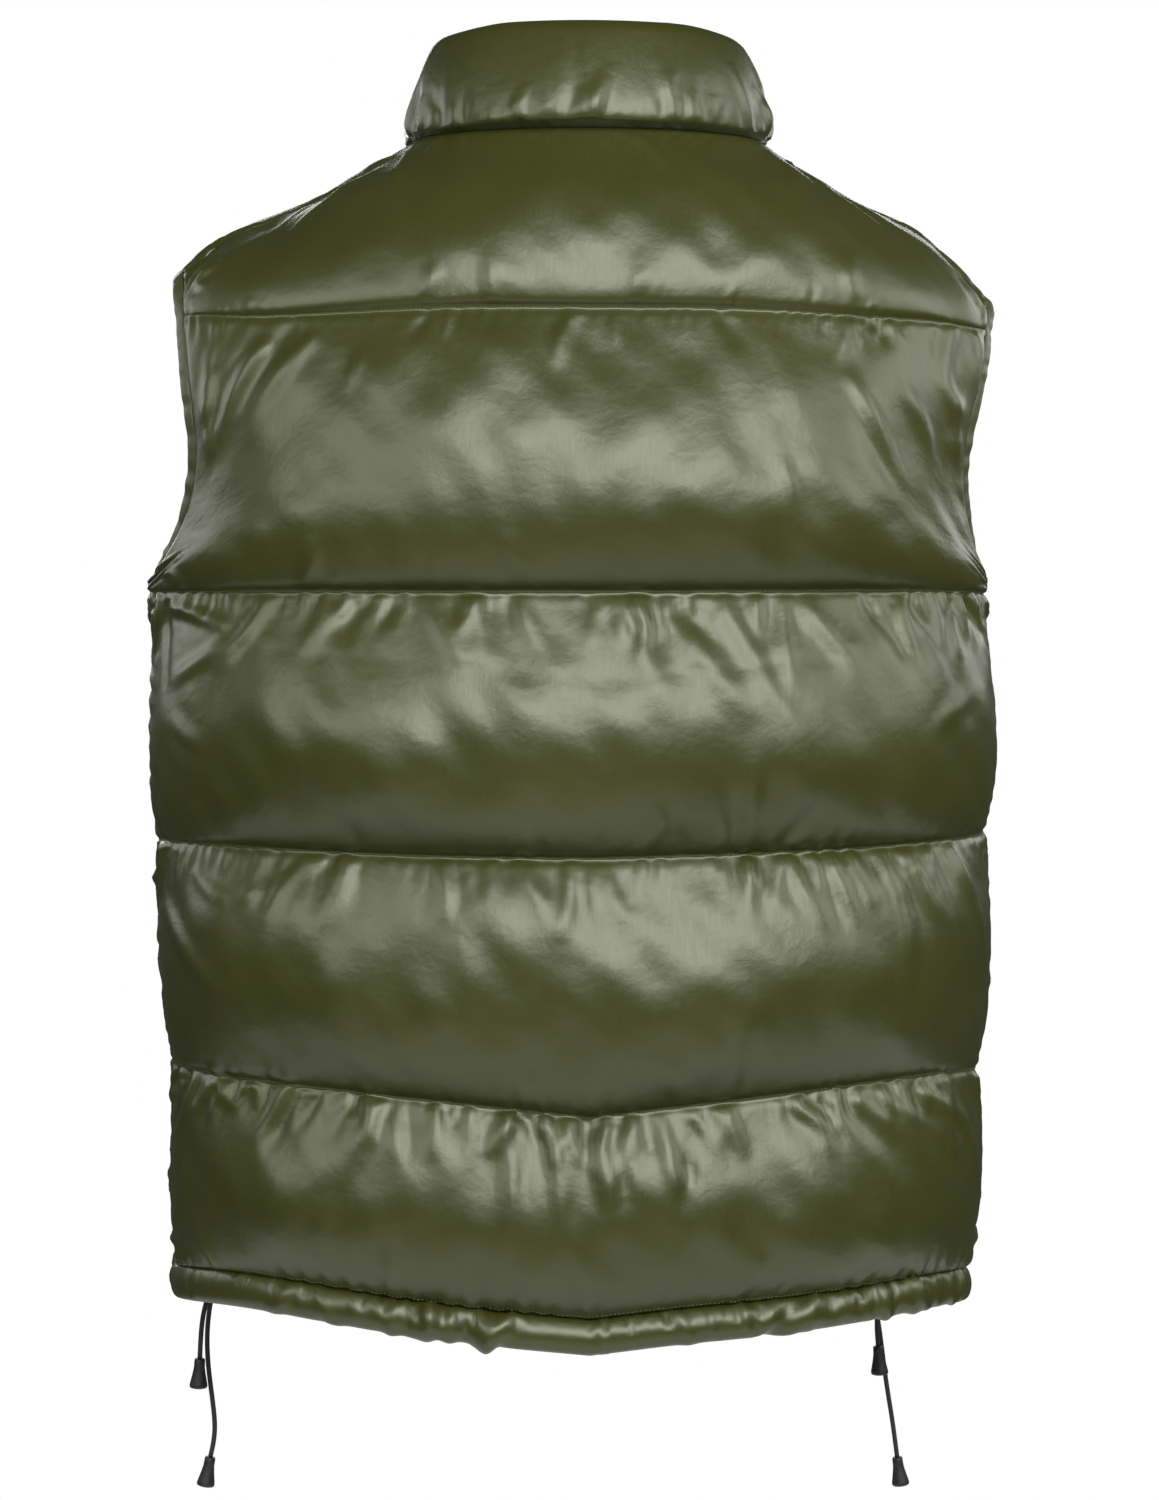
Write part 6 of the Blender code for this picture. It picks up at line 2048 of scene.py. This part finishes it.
# ---- Studio ----
@dataclass(frozen=True)
class Softbox:
    """Large area light that faces the vest; angles are in degrees."""

    name: str
    azimuth: float  # 0 in front of the vest, 180 behind it
    elevation: float
    distance: float
    width: float
    height: float
    brightness: float  # radiance
    colour: tuple[float, float, float] = (1.0, 1.0, 1.0)

    def build(self, target: Vector) -> None:
        """Hang the light; its power is radiance times pi times its area."""
        turn, climb = math.radians(self.azimuth), math.radians(self.elevation)
        level = math.cos(climb)
        way = Vector((math.sin(turn) * level, -math.cos(turn) * level, math.sin(climb)))
        data = bpy.data.lights.new(self.name, "AREA")
        data.shape = "RECTANGLE"
        data.size = self.width
        data.size_y = self.height
        data.energy = self.brightness * math.pi * self.width * self.height
        data.color = self.colour
        light = bpy.data.objects.new(self.name, data)
        light.location = target + way * self.distance
        light.rotation_mode = "QUATERNION"
        light.rotation_quaternion = way.to_track_quat("Z", "Y")
        light.visible_camera = False
        bpy.context.scene.collection.objects.link(light)


@dataclass(frozen=True)
class Studio:
    """Pale floor, soft light and the camera."""

    target: tuple[float, float, float] = (0.0, 0.0, -0.28)
    floor_height: float = -1.35
    floor_radius: float = 1.2
    floor_sides: int = 96
    azimuth: float = 176.0
    distance: float = 2.0
    camera_height: float = -0.2
    lens: float = 78.4
    sensor: float = 36.0
    shift: tuple[float, float] = (0.005, -0.14)

    def build(self) -> None:
        """Set up floor, world, lights and camera."""
        self.floor()
        self.world()
        target = Vector(self.target)
        for box in (
            Softbox("softbox_back", 192.0, 28.0, 2.8, 2.8, 1.4, 9.2),
            Softbox("softbox_back_left", 132.0, 21.0, 2.8, 2.2, 1.1, 4.2),
            Softbox("softbox_back_right", 254.0, 24.0, 2.8, 1.8, 1.2, 4.4),
            Softbox("softbox_low", 180.0, -38.0, 2.6, 2.8, 1.2, 0.74, (1.0, 0.98, 0.62)),
            Softbox("softbox_front", 4.0, 13.0, 2.8, 2.6, 1.0, 5.6),
            Softbox("softbox_front_left", 64.0, 16.0, 2.8, 1.8, 1.0, 2.6),
            Softbox("softbox_front_right", 304.0, 16.0, 2.8, 1.8, 1.0, 2.6),
        ):
            box.build(target)
        self.camera()

    def floor(self) -> None:
        """Round pale floor well below the vest."""
        turn = round_angles(self.floor_sides)
        rim = np.stack([np.cos(turn), np.sin(turn), np.zeros_like(turn)], -1) * self.floor_radius
        rim[:, 2] = self.floor_height
        floor = make_mesh("studio_floor", rim, [np.arange(self.floor_sides)[None]], smooth=False)
        material, nodes, shader = new_material("floor_paper")
        nodes.fill(shader, {"Base Color": (0.80, 0.80, 0.80, 1.0), "Roughness": 0.9})
        floor.data.materials.append(material)

    def world(self) -> None:
        """Pale surround: white where it is seen directly, dimmer as a light."""
        world = bpy.data.worlds.new("studio_surround")
        world.use_nodes = True
        nodes = Nodes(world.node_tree)
        seen = nodes.add("ShaderNodeLightPath").outputs["Is Camera Ray"]
        strength = nodes.add("ShaderNodeMapRange", {0: seen, 1: 0.0, 2: 1.0, 3: 0.05, 4: 1.0})
        shown = {"Color": (1.0, 1.0, 1.0, 1.0), "Strength": strength.outputs[0]}
        nodes.fill(world.node_tree.nodes["Background"], shown)
        bpy.context.scene.world = world

    def camera(self) -> None:
        """Level camera behind the vest."""
        turn = math.radians(self.azimuth)
        data = bpy.data.cameras.new("camera")
        data.lens = self.lens
        data.sensor_width = self.sensor
        data.shift_x, data.shift_y = self.shift
        camera = bpy.data.objects.new("camera", data)
        out, away = self.distance * math.sin(turn), -self.distance * math.cos(turn)
        place = Vector((out, away, self.camera_height))
        camera.location = place
        aim = Vector((0.0, 0.0, self.camera_height)) - place
        camera.rotation_mode = "QUATERNION"
        camera.rotation_quaternion = aim.to_track_quat("-Z", "Y")
        bpy.context.scene.collection.objects.link(camera)
        bpy.context.scene.camera = camera
        bpy.context.scene.view_settings.view_transform = "Standard"


# ---- Assembly ----
def dress_solids(nodes: dict, wardrobe: Wardrobe) -> None:
    """Give the solids that stay in view their finishes."""
    tapes = ("zip_tape_left", "zip_tape_right")
    metals = ("zip_slider", "zip_pull", "zip_stop_left", "zip_stop_right", "zip_box",
              "cord_eyelet_left", "cord_eyelet_right")
    finishes = {name: wardrobe.tape for name in tapes} | {name: wardrobe.metal for name in metals}
    for name, material in finishes.items():
        node = nodes[name]
        if not node.material_slots:
            node.data.materials.append(material)
        for place in node.material_slots:
            place.material = material


def settled_shell() -> Shell:
    """Settle the cloth on a grid with half its rows and columns, and then on the full one."""
    form = InsideForm(CUT)
    shell = None
    for coarseness, turns, hold in ((2, 260, 0.003), (1, 240, 0.006)):
        finer = Shell(form, coarseness)
        finer.settle(shell, turns, hold)
        shell = finer
        log.info("settled at %d", coarseness)
    return shell


def clear_scene() -> None:
    """Remove the objects that the scene starts with."""
    for obj in list(bpy.data.objects):
        bpy.data.objects.remove(obj, do_unlink=True)


def main() -> None:
    """Build the looks in order and report each piece."""
    logging.basicConfig(level=logging.INFO, format="%(name)s %(message)s")
    clear_scene()
    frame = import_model()
    Studio().build()
    wardrobe = Wardrobe()
    shell = settled_shell()
    for cord in CORDS:
        cord.build(shell, wardrobe)
    shell.build(wardrobe)
    collar = Collar()
    collar.build(shell, wardrobe)
    for side in (1, -1):
        Binding().build(shell, side, wardrobe)
    casing = Casing()
    casing.build("hem_casing_back", shell.back, 501, wardrobe)
    casing.build("hem_casing_left", shell.left, 511, wardrobe)
    casing.build("hem_casing_right", shell.right, 521, wardrobe)
    sew(shell, wardrobe)
    Zip(shell, collar).build(wardrobe)
    dress_solids(frame["nodes"], wardrobe)


if __name__ == "__main__":
    main()
